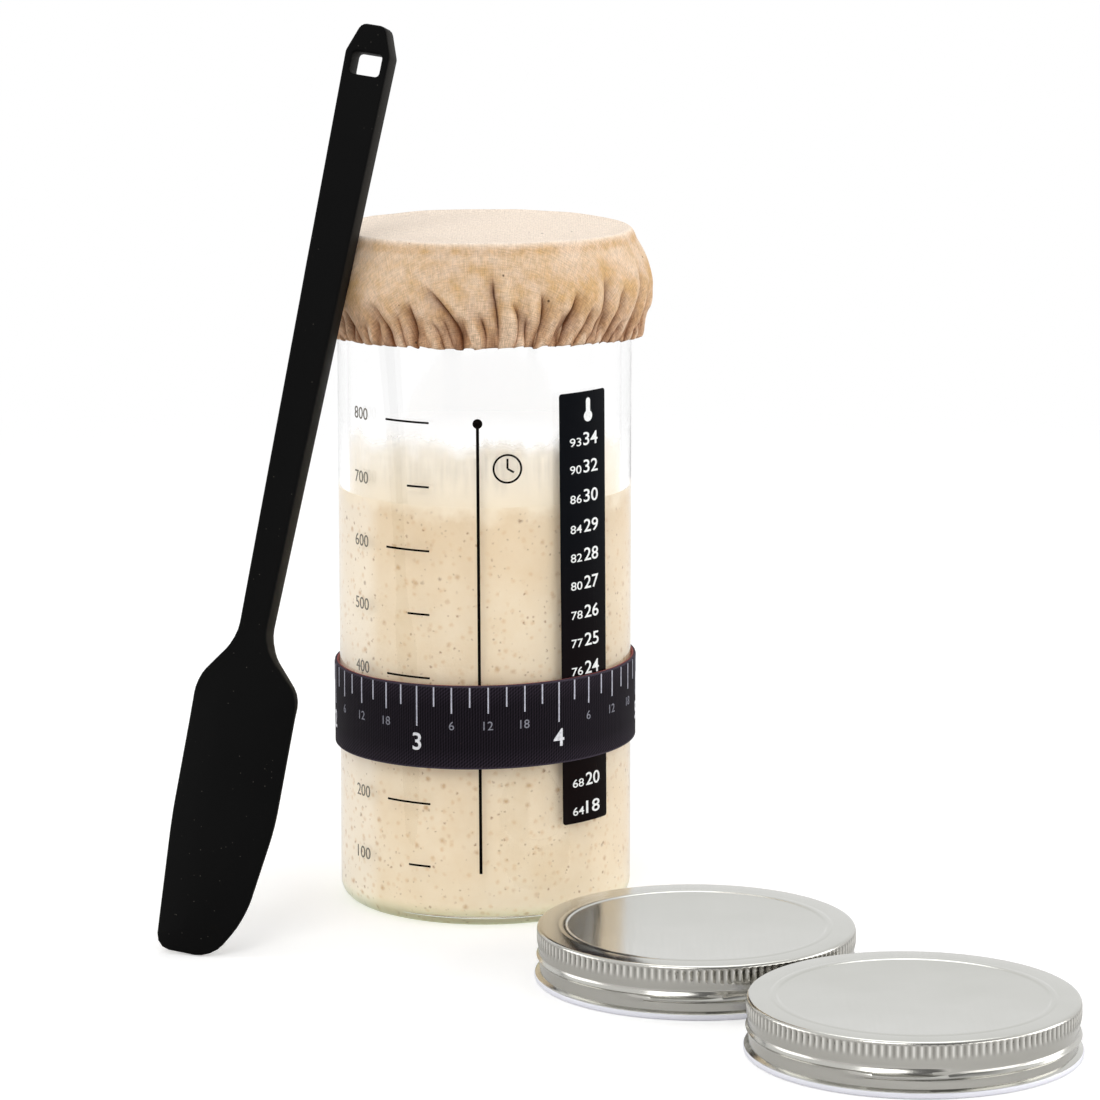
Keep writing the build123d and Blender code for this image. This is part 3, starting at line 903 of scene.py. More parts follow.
def written(bm, text, centre, height, width=0, weight=0):
    """Add plain numbers to a flat bmesh, centred, at a height and, if given, a width."""
    curve = bpy.data.curves.new("numbers", "FONT")
    curve.body = text
    curve.resolution_u = 4
    curve.offset = weight
    curve.extrude = (print_rise + print_sink) / 2 / height
    holder = bpy.data.objects.new("numbers", curve)
    bpy.context.scene.collection.objects.link(holder)
    bpy.context.view_layer.update()
    mesh = bpy.data.meshes.new_from_object(holder)
    bpy.data.objects.remove(holder)
    low = [min(vert.co[axis] for vert in mesh.vertices) for axis in range(3)]
    high = [max(vert.co[axis] for vert in mesh.vertices) for axis in range(3)]
    size = height / (high[1] - low[1])
    stretch = width / (high[0] - low[0]) if width else size
    thick = (print_rise + print_sink) / (high[2] - low[2])
    mesh.transform(Matrix.Translation([-(a + b) / 2 for a, b in zip(low, high)]))
    mesh.transform(Matrix.Diagonal((stretch, size, thick, 1)))
    letters = bmesh.new()
    letters.from_mesh(mesh)
    sliced(letters, NUMBER_SLICE)
    letters.to_mesh(mesh)
    letters.free()
    mesh.transform(Matrix.Translation((*centre, (print_rise - print_sink) / 2)))
    bm.from_mesh(mesh)
    bpy.data.meshes.remove(mesh)
    bpy.data.curves.remove(curve)


def arc_length(azimuth, radius):
    """Length along a cylinder's side to an azimuth."""
    return radians(azimuth) * radius


def ease(value):
    """Smooth step from 0 to 1."""
    value = min(max(value, 0), 1)
    return value * value * (3 - 2 * value)


# Camera, lights and table
view = bpy.data.objects.new("camera", bpy.data.cameras.new("camera"))
view.data.lens = camera_lens
view.data.sensor_width = camera_sensor
view.location = camera_place
view.rotation_euler = (radians(90 - camera_pitch), 0, 0)
bpy.context.scene.collection.objects.link(view)
bpy.context.scene.camera = view
bpy.context.scene.view_settings.view_transform = "Standard"


def softbox(name, place, width, share):
    """Square softbox aimed at the jar; share is how much of a full plain light it gives there."""
    lamp = bpy.data.lights.new(name, "AREA")
    lamp.size = width
    aim = Vector(softbox_aim) - Vector(place)
    lamp.energy = share * pi * pi * aim.length_squared
    box = bpy.data.objects.new(name, lamp)
    box.location = place
    box.rotation_euler = aim.to_track_quat("-Z", "Y").to_euler()
    bpy.context.scene.collection.objects.link(box)


softbox("key_softbox", (-0.5, -1.4, 1.4), 0.9, 0.26)
softbox("fill_softbox", (1.3, -1.0, 0.4), 1.0, 0.24)
softbox("top_softbox", (0.1, 0.4, 1.7), 1.2, 0.26)
softbox("left_softbox", (-1.6, 0.0, 0.4), 1.0, 0.26)
softbox("right_softbox", (1.6, 0.1, 0.4), 1.0, 0.34)

room = bpy.data.worlds.new("white_room")
room.use_nodes = True
sky = room.node_tree
sky.nodes.clear()
path = add(sky, "LightPath")
glossy = path.outputs["Is Glossy Ray"]
direct = add(sky, "Math", {0: path.outputs["Is Camera Ray"], 1: glossy}, operation="MAXIMUM")
through = add(sky, "Math", {0: direct, 1: path.outputs["Is Transmission Ray"]}, operation="MAXIMUM")
# Metal reflects the dim end of the room where the photographer stands, in front of the object
# and above its horizon: full in the middle of these four ranges of direction, none outside them
where = add(sky, "SeparateXYZ", {0: add(sky, "TexCoord").outputs["Generated"]})
off = add(sky, "Math", {0: where.outputs["X"], 1: 0.15}, operation="SUBTRACT")
aside = add(sky, "Math", {0: off}, operation="ABSOLUTE")
ahead, height = where.outputs["Y"], where.outputs["Z"]
dim = glossy
dim_ranges = ((aside, 0.75, 0.35), (height, 0.12, 0.34), (ahead, 0.0, -0.25), (height, 0.95, 0.8))
for value, none, full in dim_ranges:
    share = add(sky, "MapRange", {"Value": value, "From Min": none, "From Max": full})
    dim = add(sky, "Math", {0: share, 1: dim}, operation="MULTIPLY")
bright = add(sky, "MapRange", {"Value": dim, "To Min": 1.0, "To Max": 0.2})
level = add(sky, "MapRange", {"Value": through, "To Min": 0.5, "To Max": 1.0})
strength = add(sky, "Math", {0: level, 1: bright}, operation="MULTIPLY")
light = add(sky, "Background", {"Color": linear("#FFFFFF"), "Strength": strength})
add(sky, "OutputWorld", {"Surface": light})
bpy.context.scene.world = room

table = bmesh.new()
bmesh.ops.create_grid(table, x_segments=1, y_segments=1, size=table_reach)
bmesh.ops.translate(table, vec=(0, 0, -table_drop), verts=table.verts)
table_mesh = bpy.data.meshes.new("table")
table.to_mesh(table_mesh)
table.free()
table_mesh.materials.append(pale_floor())
table_top = bpy.data.objects.new("table", table_mesh)
bpy.context.scene.collection.objects.link(table_top)


# Glass jar, with its thread raised on the neck
neck_foot = shoulder_height + shoulder_rise
neck_top = jar_height - 2 * rim_corner
jar_outline = [
    (0, base_recess, 0),
    (foot_radius - 2 * base_recess, base_recess, base_recess),
    (foot_radius, 0, base_recess),
    (jar_radius, 0, base_corner),
    (jar_radius, shoulder_height, shoulder_corner),
    (neck_radius, neck_foot, 0),
]
for row in range(1, neck_rows + 1):
    jar_outline.append((neck_radius, neck_foot + (neck_top - neck_foot) * row / neck_rows, 0))
jar_outline += [
    (neck_radius, jar_height, rim_corner),
    (mouth_radius, jar_height, rim_corner),
    (mouth_radius, neck_foot, shoulder_corner),
    (bore_radius, shoulder_height, shoulder_corner),
    (bore_radius, base_thickness, inside_corner),
    (0, base_thickness, 0),
]
jar = turned(jar_outline, jar_steps, rounding=7)
for vert in jar.verts:
    if abs(vert.co.xy.length - neck_radius) < NEAR and vert.co.z > neck_foot + NEAR:
        turn = (atan2(vert.co.y, vert.co.x) / (2 * pi)) % 1
        raised = 0
        for lap in range(ceil(thread_turns) + 1):
            done = turn + lap
            off = abs(vert.co.z - thread_start - thread_pitch * done)
            side = (thread_width / 2 - off) / ((thread_width - thread_crest) / 2)
            ends = ease(done / thread_fade) * ease((thread_turns - done) / thread_fade)
            raised = max(raised, thread_depth * ease(side) * ends)
        vert.co.xy *= 1 + raised / neck_radius
piece("jar_glass", jar, [GLASS], "jar", ["glass_jar"], sharp=70)

# Starter, in contact with the glass, with its risen, bubbled top
dough_radius = bore_radius + contact
dough_outline = [(0, base_thickness - contact, 0), (dough_radius, base_thickness - contact, inside_corner)]
dough_outline += [(dough_radius, starter_level, 0)]
dough_outline += [(ring, starter_level, 0) for ring in range(int(bore_radius), 0, -1)]
dough_outline += [(0, starter_level, 0)]
dough = turned(dough_outline, starter_steps, rounding=6)
draw = random.Random(7)
bubbles = []
for _ in range(bubble_count):
    away = bore_radius * bubble_field * sqrt(draw.random())
    turn = draw.uniform(0, 2 * pi)
    size = draw.uniform(*bubble_sizes)
    bubbles.append((away * cos(turn), away * sin(turn), size, draw.choice((-1, 1, 1))))
for vert in dough.verts:
    if vert.co.z > starter_level - NEAR:
        x, y = vert.co.xy
        lift = top_swell * noise.noise(Vector((x, y, 0)) / top_swell_size)
        lift += top_ripple * noise.noise(Vector((x, y, 9)) / top_ripple_size)
        for middle_x, middle_y, size, sign in bubbles:
            away = hypot(x - middle_x, y - middle_y) / size
            if away < 1:
                lift += sign * size * bubble_bulge * (1 - away * away)
        vert.co.z += lift * ease((dough_radius - vert.co.xy.length) / top_edge)
piece("starter_dough", dough, [DOUGH], "jar", ["starter"], sharp=60)

smear_outline = [(bore_radius - smear_gap, height, 0) for height in (smear_foot, smear_top)]
smear = turned(smear_outline, starter_steps)
piece("starter_smear", smear, [SMEAR], "jar")

# Plain numbers beside the volume marks
numbers = bmesh.new()
for hundred in range(1, 9):
    height = first_mark_height + (hundred - 1) * mark_spacing
    centre = (arc_length(number_azimuth, jar_radius), height + number_lift)
    written(numbers, str(hundred * 100), centre, number_height, number_width)
wrapped(numbers, jar_radius)
piece("volume_numbers", numbers, [NUMBER_INK], "jar")

# Clock sign by the feeding line
clock_outline = [
    (clock_radius, -print_sink, 0),
    (clock_radius, print_rise, 0),
    (clock_radius - clock_line, print_rise, 0),
    (clock_radius - clock_line, -print_sink, 0),
]
clock = turned(clock_outline, clock_steps, closed=True)
for turn, length in clock_hands:
    hand = bmesh.ops.create_cube(clock, size=1)["verts"]
    bmesh.ops.scale(clock, vec=(clock_line, length, print_rise + print_sink), verts=hand)
    bmesh.ops.translate(clock, vec=(0, length / 2, (print_rise - print_sink) / 2), verts=hand)
    bmesh.ops.rotate(clock, cent=(0, 0, 0), matrix=Matrix.Rotation(radians(turn), 3, "Z"), verts=hand)
bmesh.ops.translate(clock, vec=(arc_length(clock_azimuth, jar_radius), clock_height, 0), verts=clock.verts)
wrapped(clock, jar_radius)
piece("clock_sign", clock, [BLACK_INK], "jar")

# Thermometer strip: film, then its numbers and a thermometer sign
strip_side = arc_length(strip_azimuth, jar_radius)
strip_middle = strip_foot_height + strip_length / 2
strip_turn = Matrix.Rotation(radians(strip_slant), 3, "Z")
strip = bmesh.new()
bmesh.ops.create_grid(strip, x_segments=1, y_segments=1, size=0.5)
bmesh.ops.scale(strip, vec=(strip_width, strip_length, 1), verts=strip.verts)
bmesh.ops.bevel(
    strip, geom=strip.verts[:], offset=strip_corner, segments=4, profile=0.5, affect="VERTICES", material=-1
)
grown = bmesh.ops.extrude_face_region(strip, geom=strip.faces[:])["geom"]
bmesh.ops.translate(
    strip, vec=(0, 0, strip_thickness), verts=[part for part in grown if isinstance(part, bmesh.types.BMVert)]
)
bmesh.ops.recalc_face_normals(strip, faces=strip.faces)
sliced(strip, strip_slice)
bmesh.ops.rotate(strip, cent=(0, 0, 0), matrix=strip_turn, verts=strip.verts)
bmesh.ops.translate(strip, vec=(strip_side, strip_middle, 0), verts=strip.verts)
wrapped(strip, jar_radius)
piece("strip_film", strip, [STRIP_FILM], "jar", ["thermometer_strip"], sharp=50)

strip_rows = (
    ("34", "93", 145.6), ("32", "90", 137.4), ("30", "86", 128.6), ("29", "84", 119.6), ("28", "82", 111.0),
    ("27", "80", 102.6), ("26", "78", 93.8), ("25", "77", 85.3), ("24", "76", 76.8), ("23", "73", 68.2),
    ("22", "72", 59.7), ("21", "70", 51.2), ("20", "68", 42.8), ("18", "64", 34.2),
)
figures = bmesh.new()
for large, small, height in strip_rows:
    for number, (side, drop, tall, wide, weight) in ((large, large_figure), (small, small_figure)):
        written(figures, number, (side, height - drop - strip_middle), tall, wide, weight)
sign_foot = sign_height - strip_middle
for size, up in ((sign_stem, 0), (sign_stem, sign_length), (sign_bulb, 0)):
    dot = bmesh.ops.create_circle(figures, cap_ends=True, segments=20, radius=size)["verts"]
    bmesh.ops.translate(figures, vec=(sign_side, sign_foot + up, print_rise), verts=dot)
stem = bmesh.ops.create_grid(figures, x_segments=1, y_segments=1, size=0.5)["verts"]
bmesh.ops.scale(figures, vec=(2 * sign_stem, sign_length, 1), verts=stem)
bmesh.ops.translate(figures, vec=(sign_side, sign_foot + sign_length / 2, print_rise), verts=stem)
bmesh.ops.rotate(figures, cent=(0, 0, 0), matrix=strip_turn, verts=figures.verts)
bmesh.ops.translate(figures, vec=(strip_side, strip_middle, strip_thickness), verts=figures.verts)
wrapped(figures, jar_radius)
piece("strip_figures", figures, [STRIP_INK], "jar")

# Feeding band: webbing with soft edges, its hour and day numbers
half_band = band_width / 2
band_outline = [
    (webbing_inside, -half_band, webbing_corner / 2),
    (band_outside, -half_band, webbing_corner),
    (band_outside, half_band, webbing_corner),
    (webbing_inside, half_band, webbing_corner / 2),
]
band = turned(band_outline, band_steps, closed=True, rounding=3)
weave = band.loops.layers.uv.new("weave")
for surface in band.faces:
    middle = surface.calc_center_median()
    side = atan2(middle.x, -middle.y)
    for loop in surface.loops:
        x, y, z = loop.vert.co
        azimuth = atan2(x, -y)
        azimuth += 2 * pi * round((side - azimuth) / (2 * pi))
        loop[weave].uv = (azimuth * band_outside * MM, z * MM)
for vert in band.verts:
    vert.co.z += band_centre_height + vert.co.x * tan(radians(band_tilt))
piece("band_weave", band, [WEBBING], "band", ["band_webbing"], sharp=60)

hours = bmesh.new()
days = bmesh.new()
band_top = band_centre_height + half_band
for tick in range(-last_numbered_tick, last_numbered_tick + 1, 2):
    centre = arc_length(middle_tick_azimuth + tick * tick_turn, band_outside)
    day, past = divmod(tick - day_tick, ticks_a_day)
    if past:
        written(hours, str(past * hours_a_tick), (centre, band_top - hour_drop), hour_height)
    else:
        written(days, str(day + day_at_tick), (centre, band_top - day_drop), day_height, 0, day_weight)
for name, figures, ink in (("hour_numbers", hours, HOUR_INK), ("day_numbers", days, DAY_INK)):
    wrapped(figures, band_outside, band_tilt)
    piece(name, figures, [ink], "band")


# Cloth cover

def smooth_line(points, step):
    """Points about a step apart along a smooth curve through the given ones."""
    line = []
    padded = [points[0], *points, points[-1]]
    for place in range(len(points) - 1):
        before, start, end, after = [Vector(point) for point in padded[place:place + 4]]
        pieces = max(1, round((end - start).length / step))
        for part in range(pieces):
            t = part / pieces
            line.append(
                0.5 * (2 * start + (end - before) * t + (2 * before - 5 * start + 4 * end - after) * t ** 2
                       + (3 * start - before - 3 * end + after) * t ** 3)
            )
    return line + [Vector(points[-1])]


def cover_folds():
    """Every fold round the cover: those in front, more behind, and fine gathers between them."""
    draw = random.Random(11)
    broad = list(front_folds)
    azimuth = front_span[1] + back_fold_turn
    while azimuth < 360 + front_span[0]:
        lean = draw.uniform(-back_fold_lean, back_fold_lean)
        hem = azimuth + draw.uniform(-back_fold_shift, back_fold_shift)
        start = draw.choice(back_fold_starts)
        side = 1 if lean < 0 else -1
        depth = draw.uniform(*back_fold_depths)
        width = draw.uniform(*back_fold_widths)
        broad.append((hem, hem + lean * back_fold_bend, hem + lean, start, depth, width, side))
        azimuth += back_fold_turn * draw.uniform(*back_fold_turns)
    broad.sort()
    made = list(broad)
    for place, fold in enumerate(broad):
        following = broad[(place + 1) % len(broad)]
        room = (following[0] - fold[0]) % 360
        fine = round(room / gather_turn)
        for gather in range(1, fine):
            share = gather / fine
            hem = fold[0] + room * share + draw.uniform(-gather_shift, gather_shift)
            lean = (fold[2] - fold[0]) * (1 - share) + (following[2] - following[0]) * share
            start = draw.uniform(*gather_starts)
            depth = draw.uniform(*gather_depths)
            bent, leant = hem + lean * gather_bend, hem + lean * gather_lean
            made.append((hem, bent, leant, start, depth, gather_width, fold[6]))
    return made


folds = cover_folds()


def fold_shape(azimuth, down, radius):
    """Outward and sideways moves at a place on the cover's side, and how far in a crease it is, which sets
    the linen's painted shade in creases and painted highlight on fold lips.
    """
    outward = sideways = crease = 0
    for hem, middle, top, start, depth, width, side in folds:
        if down <= start or abs((azimuth - hem + 180) % 360 - 180) > fold_window:
            continue
        up = (1 - down) / (1 - start)
        line = hem * (1 - up) * (1 - 2 * up) + middle * 4 * up * (1 - up) + top * up * (2 * up - 1)
        wide = width * (1 + fold_widening * up)
        away = radians((azimuth - line + 180) % 360 - 180) * radius * side
        if abs(away) > fold_tail * wide:
            continue
        strength = ease((1 - up) / fold_onset) * depth
        flank = exp(-abs(away) / ((lapped_flank if away > 0 else open_flank) * wide))
        valley = exp(-((away / (valley_width * wide)) ** 2))
        lip = exp(-((away - lip_place * wide) / (lip_width * wide)) ** 2)
        lap = exp(-((away - lap_place * wide) / (lap_width * wide)) ** 2)
        shade = exp(-abs(away) / ((lapped_shade if away > 0 else open_shade) * wide))
        outward += strength * (lip_rise * lip - flank_sink * flank - valley_sink * valley)
        sideways -= side * strength * lap_shift * lap
        crease += strength / full_crease * (shade_share * shade + valley_share * valley - lip_share * lip)
    return outward, sideways, crease


line = smooth_line(cover_rows, cover_step)
disc = [Vector((cover_rows[0][0] * ring / disc_rings, cover_rows[0][1])) for ring in range(disc_rings)]
cover_line = disc + line
cover = turned([(*point, 0) for point in cover_line], cover_steps, numbered=True)
run = 0
reach_at = {}
turn_in = min(range(len(cover_line)), key=lambda place: cover_line[place].y)
for place, point in enumerate(cover_line):
    if place:
        run += (point - cover_line[place - 1]).length
    reach_at[place] = run
cover.verts.ensure_lookup_table()
reach_layer = cover.verts.layers.float.new("reach")
crease_layer = cover.verts.layers.float.new("crease")
row_layer = cover.verts.layers.int["row"]
# The side takes its folds, slack, puckers and uneven hem, and the top only a faint wave
for vert in cover.verts:
    place = vert[row_layer]
    vert[reach_layer] = reach_at[place]
    radius = vert.co.xy.length
    azimuth = atan2(vert.co.x, -vert.co.y) * 180 / pi
    x, y, z = vert.co
    if z < cover_edge_height:
        inner = place > turn_in
        down = 1 if inner else min((cover_edge_height - z) / (cover_edge_height - hem_height), 1)
        outward, sideways, crease = fold_shape(azimuth, down, radius)
        outward *= 1 - hem_draw * ease((down - hem_draw_start) / hem_draw_run)
        outward += belly * ease((down - belly_start) / belly_run)
        outward += sum(
            depth * ease(down / full) * noise.noise(vert.co / size) for size, depth, full in cloth_waves
        )
        if inner:
            share = 1 - ease((place - turn_in) / (len(cover_line) - turn_in))
            outward *= turned_in_folds * share
            sideways *= share
        ring = Vector((cos(radians(azimuth)), sin(radians(azimuth)), 0))
        pucker = noise.noise(ring * puckers_a_radian + Vector((0, 0, down * pucker_lean)))
        pucker *= ease((down - pucker_start) / (1 - pucker_start))
        outward -= pucker_depth * pucker
        crease += pucker_shade * pucker
        outward = max(outward, jar_radius + cloth_clearance - radius)
        # Kept for the linen's painted shade in creases and puckers and painted highlight on fold lips
        vert[crease_layer] = min(max(crease, crease_limits[0]), crease_limits[1])
        turn = radians(azimuth) + sideways / radius
        radius += outward
        sag = sum(depth * noise.noise(ring * waves) for waves, depth in hem_waves)
        sag -= crease_lift * min(crease, crease_lift_limit)
        front = cos(radians(azimuth))
        sag += hem_front_lift * max(front, 0) - hem_side_drop * min(1 - front, 1) ** 2
        fall = ease((down - fall_start) / fall_run) * sag
        fall += (1 - ease(down / rim_lift_run)) * rim_front_lift * max(front, 0)
        vert.co = (radius * sin(turn), -radius * cos(turn), z + fall)
    else:
        front = max(-y / cover_rows[0][0], 0)
        wave = disc_wave * noise.noise(Vector((x, y, 3)) / disc_wave_size)
        vert.co.z += wave * ease(radius / disc_middle)
        vert.co.z += rim_front_lift * front * ease((radius - disc_lift_start) / disc_lift_run)
# The cloth laid flat: each place at its distance along the cloth from the middle of the top
cut = cover.loops.layers.uv.new("cut")
for surface in cover.faces:
    for loop in surface.loops:
        azimuth = atan2(loop.vert.co.x, -loop.vert.co.y)
        reach = loop.vert[reach_layer] * MM
        loop[cut].uv = (reach * sin(azimuth), reach * cos(azimuth))
bmesh.ops.recalc_face_normals(cover, faces=cover.faces)
cloth = piece("cover_linen", cover, [LINEN], "cover", ["cover_cloth"], sharp=180)

# Screw lids: tinplate shell with a bead, a knurled rim, a thread ledge and a curled lip
bead_inside = lid_bead_radius - lid_bead_width
skirt_top = lid_knurl_foot - knurl_lead
wall_rows = []
for row in range(skirt_rows + 1):
    height = skirt_top - (skirt_top - lid_skirt_foot) * row / skirt_rows
    opened = ease((height - ledge_height - knurl_lead) / (lid_knurl_foot - ledge_height))
    wall_rows.append((lid_waist_radius + (lid_knurl_radius - lid_waist_radius) * opened, height, 0))
# From the middle of the top, out and down the skirt, round the curl and back under the top
lid_outline = [
    (0, lid_height - lid_panel_drop, 0),
    (bead_inside - lid_bead_run, lid_height - lid_panel_drop, lid_bead_corner),
    (bead_inside, lid_height - lid_bead_drop, lid_bead_corner),
    (lid_bead_radius, lid_height - lid_bead_drop, lid_bead_corner),
    (lid_bead_radius + lid_bead_run, lid_height - lid_bead_rise, lid_bead_corner),
    (lid_crown_radius, lid_height, lid_crown_corner),
    (lid_knurl_radius, lid_knurl_top, lid_knurl_corner),
    (lid_knurl_radius, lid_knurl_top - knurl_lead, 0),
    (lid_knurl_radius, (lid_knurl_foot + lid_knurl_top) / 2, 0),
    (lid_knurl_radius, lid_knurl_foot + knurl_lead, 0),
    (lid_knurl_radius - lid_knurl_step, lid_knurl_foot, 0),
    *wall_rows,
    (lid_curl_radius, lid_curl_height, lid_curl_corner),
    (lid_curl_radius, 0, lid_lip_corner),
    (lid_curl_radius - lid_curl_width, 0, lid_lip_inner_corner),
    (lid_waist_radius - tinplate_thickness, lid_curl_height, lid_foot_corner),
    (lid_waist_radius - tinplate_thickness, lid_knurl_top, 0),
    (lid_crown_radius - lid_crown_inset, lid_height - 2 * tinplate_thickness, lid_crown_inner_corner),
    (0, lid_height - lid_panel_drop - tinplate_thickness, 0),
]
lining_top = lid_height - lid_panel_drop - tinplate_thickness / 2


def ledge_at(azimuth, height):
    """How far the pressed thread ledge stands out at a place on the skirt."""
    raised = 0
    for lap in (0, 1):
        done = ((azimuth - ledge_start) % 360) / 360 + lap
        if done > ledge_turns:
            continue
        centre = ledge_height + ledge_pitch * (done - 0.5)
        off = (height - centre) / (ledge_width / 2)
        ends = ease(done / ledge_fade) * ease((ledge_turns - done) / ledge_fade)
        shape = ease(1 - off) if off > 0 else ease(1 + off * ledge_steepness)
        raised = max(raised, ledge_depth * shape * ends)
    return raised


for body, (lid_x, lid_y) in lid_places.items():
    lid = turned(lid_outline, knurl_count * steps_a_knurl, rounding=3)
    knurl_layer = lid.verts.layers.float.new("knurl_painted_light")
    for surface in lid.faces:
        middle = surface.calc_center_median()
        inside = middle.xy.length < lid_waist_radius - tinplate_thickness / 2 and middle.z < lining_top
        surface.material_index = 1 if inside or middle.z < lid_curl_height - lid_lacquer_edge else 0
    for vert in lid.verts:
        radius = vert.co.xy.length
        azimuth = atan2(vert.co.x, -vert.co.y) * 180 / pi
        on_skirt = lid_curl_height < vert.co.z < lid_knurl_foot - ledge_clear
        if on_skirt and radius > lid_waist_radius - ledge_slack:
            out = ledge_at(azimuth, vert.co.z)
            vert.co.xy *= 1 + out / radius
        if radius > lid_waist_radius and vert.co.z >= lid_knurl_foot - knurl_foot_reach:
            rib = (azimuth / 360 * knurl_count) % 1
            begun = ease((vert.co.z - lid_knurl_foot + knurl_foot_start) / knurl_foot_run)
            pressed = begun * ease((lid_knurl_top + knurl_top_reach - vert.co.z) / knurl_top_run)
            vert.co.xy *= 1 - knurl_depth * abs(2 * rib - 1) * pressed / radius
            # Crests get a painted highlight and grooves painted shade
            vert[knurl_layer] = pressed * cos(2 * pi * (rib - 0.5))
    bmesh.ops.translate(lid, vec=(lid_x, lid_y, 0), verts=lid.verts)
    piece(f"{body}_tinplate", lid, [TINPLATE, LACQUER], body, [f"{body}_cap"], sharp=50)


# Spatula, made flat and stood in its place

def rounded_face(bm, corners):
    """Add the outline of a flat face whose corners are (x, y, radius)."""
    verts = [bm.verts.new((x, y, 0)) for x, y, radius in corners]
    bm.faces.new(verts)
    for place, (x, y, radius) in enumerate(corners):
        before = Vector(corners[place - 1][:2]) - Vector((x, y))
        after = Vector(corners[(place + 1) % len(corners)][:2]) - Vector((x, y))
        turn = pi - before.angle(after)
        bmesh.ops.bevel(
            bm,
            geom=[verts[place]],
            offset=radius * tan(turn / 2),
            segments=max(3, ceil(radius * turn / corner_segment)) if radius > hole_corner else 5,
            profile=0.5,
            affect="VERTICES",
            material=-1,
            clamp_overlap=False,
        )
    bmesh.ops.delete(bm, geom=bm.faces[:], context="FACES_ONLY")


head_foot = spatula_length - head_height
spatula_corners = [(blade_width * x, blade_length * y, blade_width * r) for x, y, r in blade_shares]
spatula_corners += [
    (neck_width / 2, blade_length * neck_right_share, neck_width * neck_corner_share),
    (head_width / 2, head_foot, head_corner),
    (head_flat / 2, spatula_length, head_corner),
    (-head_flat / 2, spatula_length, head_corner),
    (-head_width / 2, head_foot, head_corner),
    (-neck_width / 2, blade_length * neck_left_share, neck_width * neck_corner_share),
]
spatula_corners += [(blade_width * x, blade_length * y, blade_width * r) for x, y, r in blade_left_shares]
hole_middle = spatula_length - hole_drop - hole_height / 2
hole_corners = [
    (across * hole_width / 2, hole_middle + up * hole_height / 2, hole_corner)
    for across, up in ((-1, -1), (1, -1), (1, 1), (-1, 1))
]
spatula = bmesh.new()
rounded_face(spatula, spatula_corners)
rounded_face(spatula, hole_corners)
rim_edges = [(edge.verts[0].co.copy(), edge.verts[1].co.copy()) for edge in spatula.edges]
bmesh.ops.triangle_fill(spatula, edges=spatula.edges[:], use_beauty=True)
# Narrow rings of faces along the edges, to carry their rounding
for inset in range(edge_steps):
    bmesh.ops.inset_region(
        spatula,
        faces=[surface for surface in spatula.faces if inset == 0 or not surface.tag],
        thickness=edge_rounding / edge_steps,
        use_boundary=True,
        use_even_offset=True,
    )
    for surface in spatula.faces:
        surface.tag = len(surface.verts) == 4


def from_rim(point):
    """Distance from a flat point to the spatula's nearest edge."""
    nearest = spatula_length
    for start, end in rim_edges:
        foot, share = intersect_point_line(point, start, end)
        foot = start if share < 0 else end if share > 1 else foot
        nearest = min(nearest, (point - foot).length)
    return nearest


for axis, first, last, step in spatula_cuts:
    for cut in range(int((last - first) / step) + 1):
        plane_place = [0, 0, 0]
        plane_place[axis] = first + cut * step
        bmesh.ops.bisect_plane(
            spatula,
            geom=spatula.verts[:] + spatula.edges[:] + spatula.faces[:],
            dist=10 * NEAR,
            plane_co=plane_place,
            plane_no=(1, 0, 0) if axis == 0 else (0, 1, 0),
        )
# Half the thickness at each place: the blade's lens, the handle's flat and the rounded edges
for vert in spatula.verts:
    inward = from_rim(vert.co)
    up = vert.co.y / blade_length
    lens = blade_edge + (blade_thickness - blade_edge) * sin(min(inward / blade_lens, 1) * pi / 2)
    thick = lens + (handle_thickness - lens) * ease((up - neck_start_share) / neck_run_share)
    rounding = min(edge_rounding, thick * edge_limit)
    drop = max(rounding - inward, 0)
    vert.co.z = thick / 2 - rounding + sqrt(max(rounding ** 2 - drop ** 2, 0))
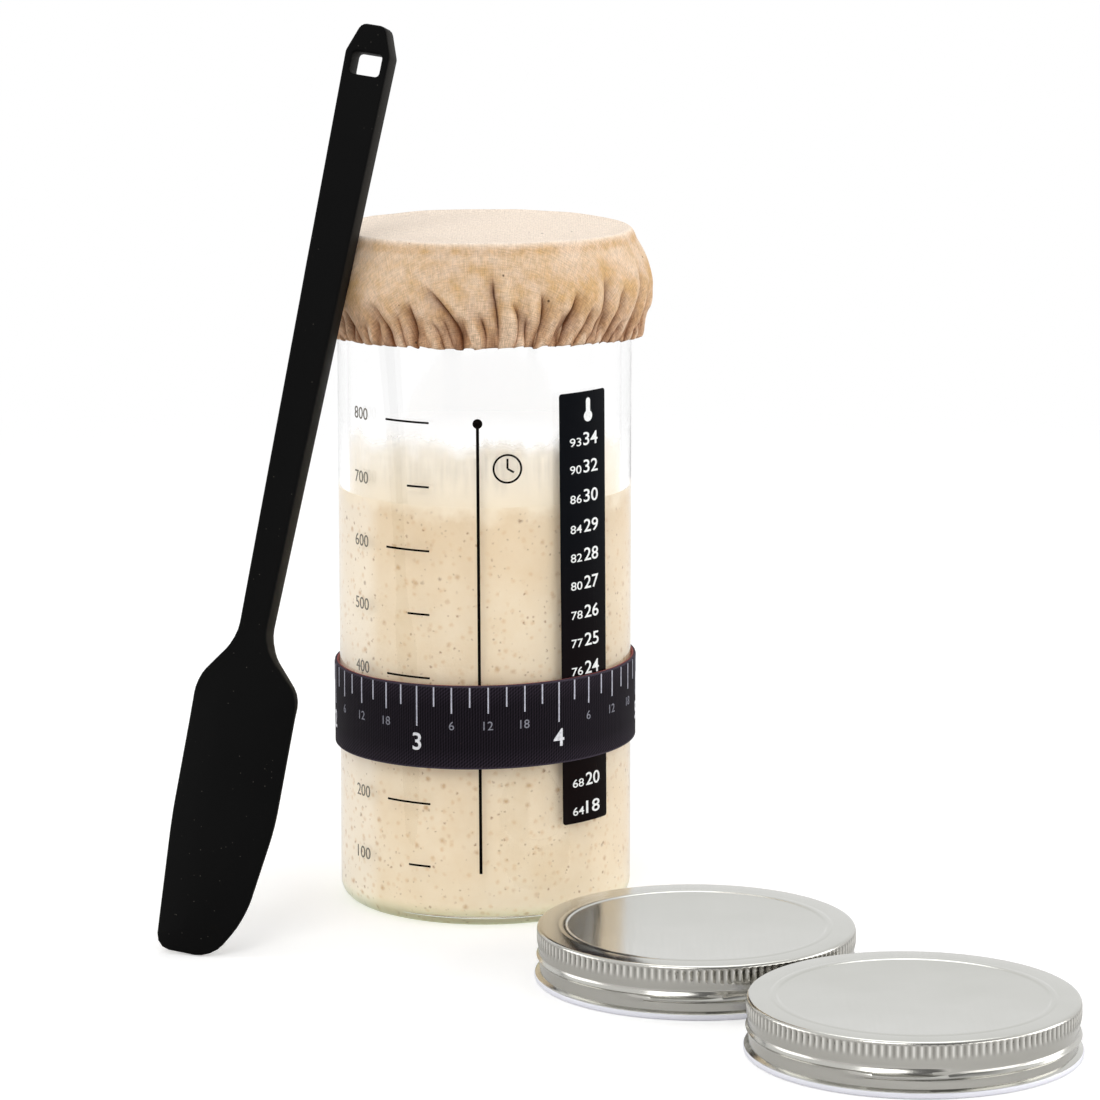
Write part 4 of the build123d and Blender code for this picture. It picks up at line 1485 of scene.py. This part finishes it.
# A wall down to the middle, then the other half
outer_edges = [edge for edge in spatula.edges if edge.is_boundary]
for part in bmesh.ops.extrude_edge_only(spatula, edges=outer_edges)["geom"]:
    if isinstance(part, bmesh.types.BMVert):
        part.co.z = 0
half = spatula.verts[:] + spatula.edges[:] + spatula.faces[:]
bmesh.ops.mirror(spatula, geom=half, axis="Z", merge_dist=NEAR)
bmesh.ops.remove_doubles(spatula, verts=spatula.verts, dist=NEAR)
bmesh.ops.recalc_face_normals(spatula, faces=spatula.faces)

# It leans on the cover's bulge, its flat side turned a little from the front, and its lowest
# point touches the table
lean = radians(lean_angle)
heading = radians(lean_heading)
along = Vector((sin(lean) * cos(heading), sin(lean) * sin(heading), cos(lean)))
face = Vector((-sin(radians(face_turn)), -cos(radians(face_turn)), 0))
face = (face - along * face.dot(along)).normalized()
across = along.cross(face)
rest_way = Vector((sin(radians(spatula_azimuth)), -cos(radians(spatula_azimuth)), 0))
rest_length = bulge_height / cos(lean)
rest_share = (rest_length - blade_length) / (spatula_length - blade_length)
rest_width = neck_width + (head_width - neck_width) * rest_share
rest_reach = abs(rest_way.dot(across)) * rest_width / 2 + abs(rest_way.dot(face)) * handle_thickness / 2
rest_point = rest_way * (bulge_radius + spatula_gap + rest_reach) + Vector((0, 0, bulge_height))
stand = Matrix((across, along, face)).transposed().to_4x4()
stand.translation = rest_point - along * rest_length
bmesh.ops.transform(spatula, matrix=stand, verts=spatula.verts)
lowest = min(vert.co.z for vert in spatula.verts)
bmesh.ops.translate(spatula, vec=along * (-lowest / along.z), verts=spatula.verts)
piece("spatula_silicone", spatula, [SILICONE], "spatula", ["spatula_body"], sharp=50)

# CAD pieces that are shown as they are
cad_finishes = {
    "volume_marks": BLACK_INK,
    "feeding_line": BLACK_INK,
    "cover_elastic": ELASTIC,
    "band_lining": LINING,
    "band_seam": SEAM,
    "band_ticks": TICK_INK,
    "front_lid_gasket": COMPOUND,
    "side_lid_gasket": COMPOUND,
    "spatula_core": NYLON,
}
for node, material in cad_finishes.items():
    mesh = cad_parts[node].data
    mesh.materials.clear()
    mesh.materials.append(material)
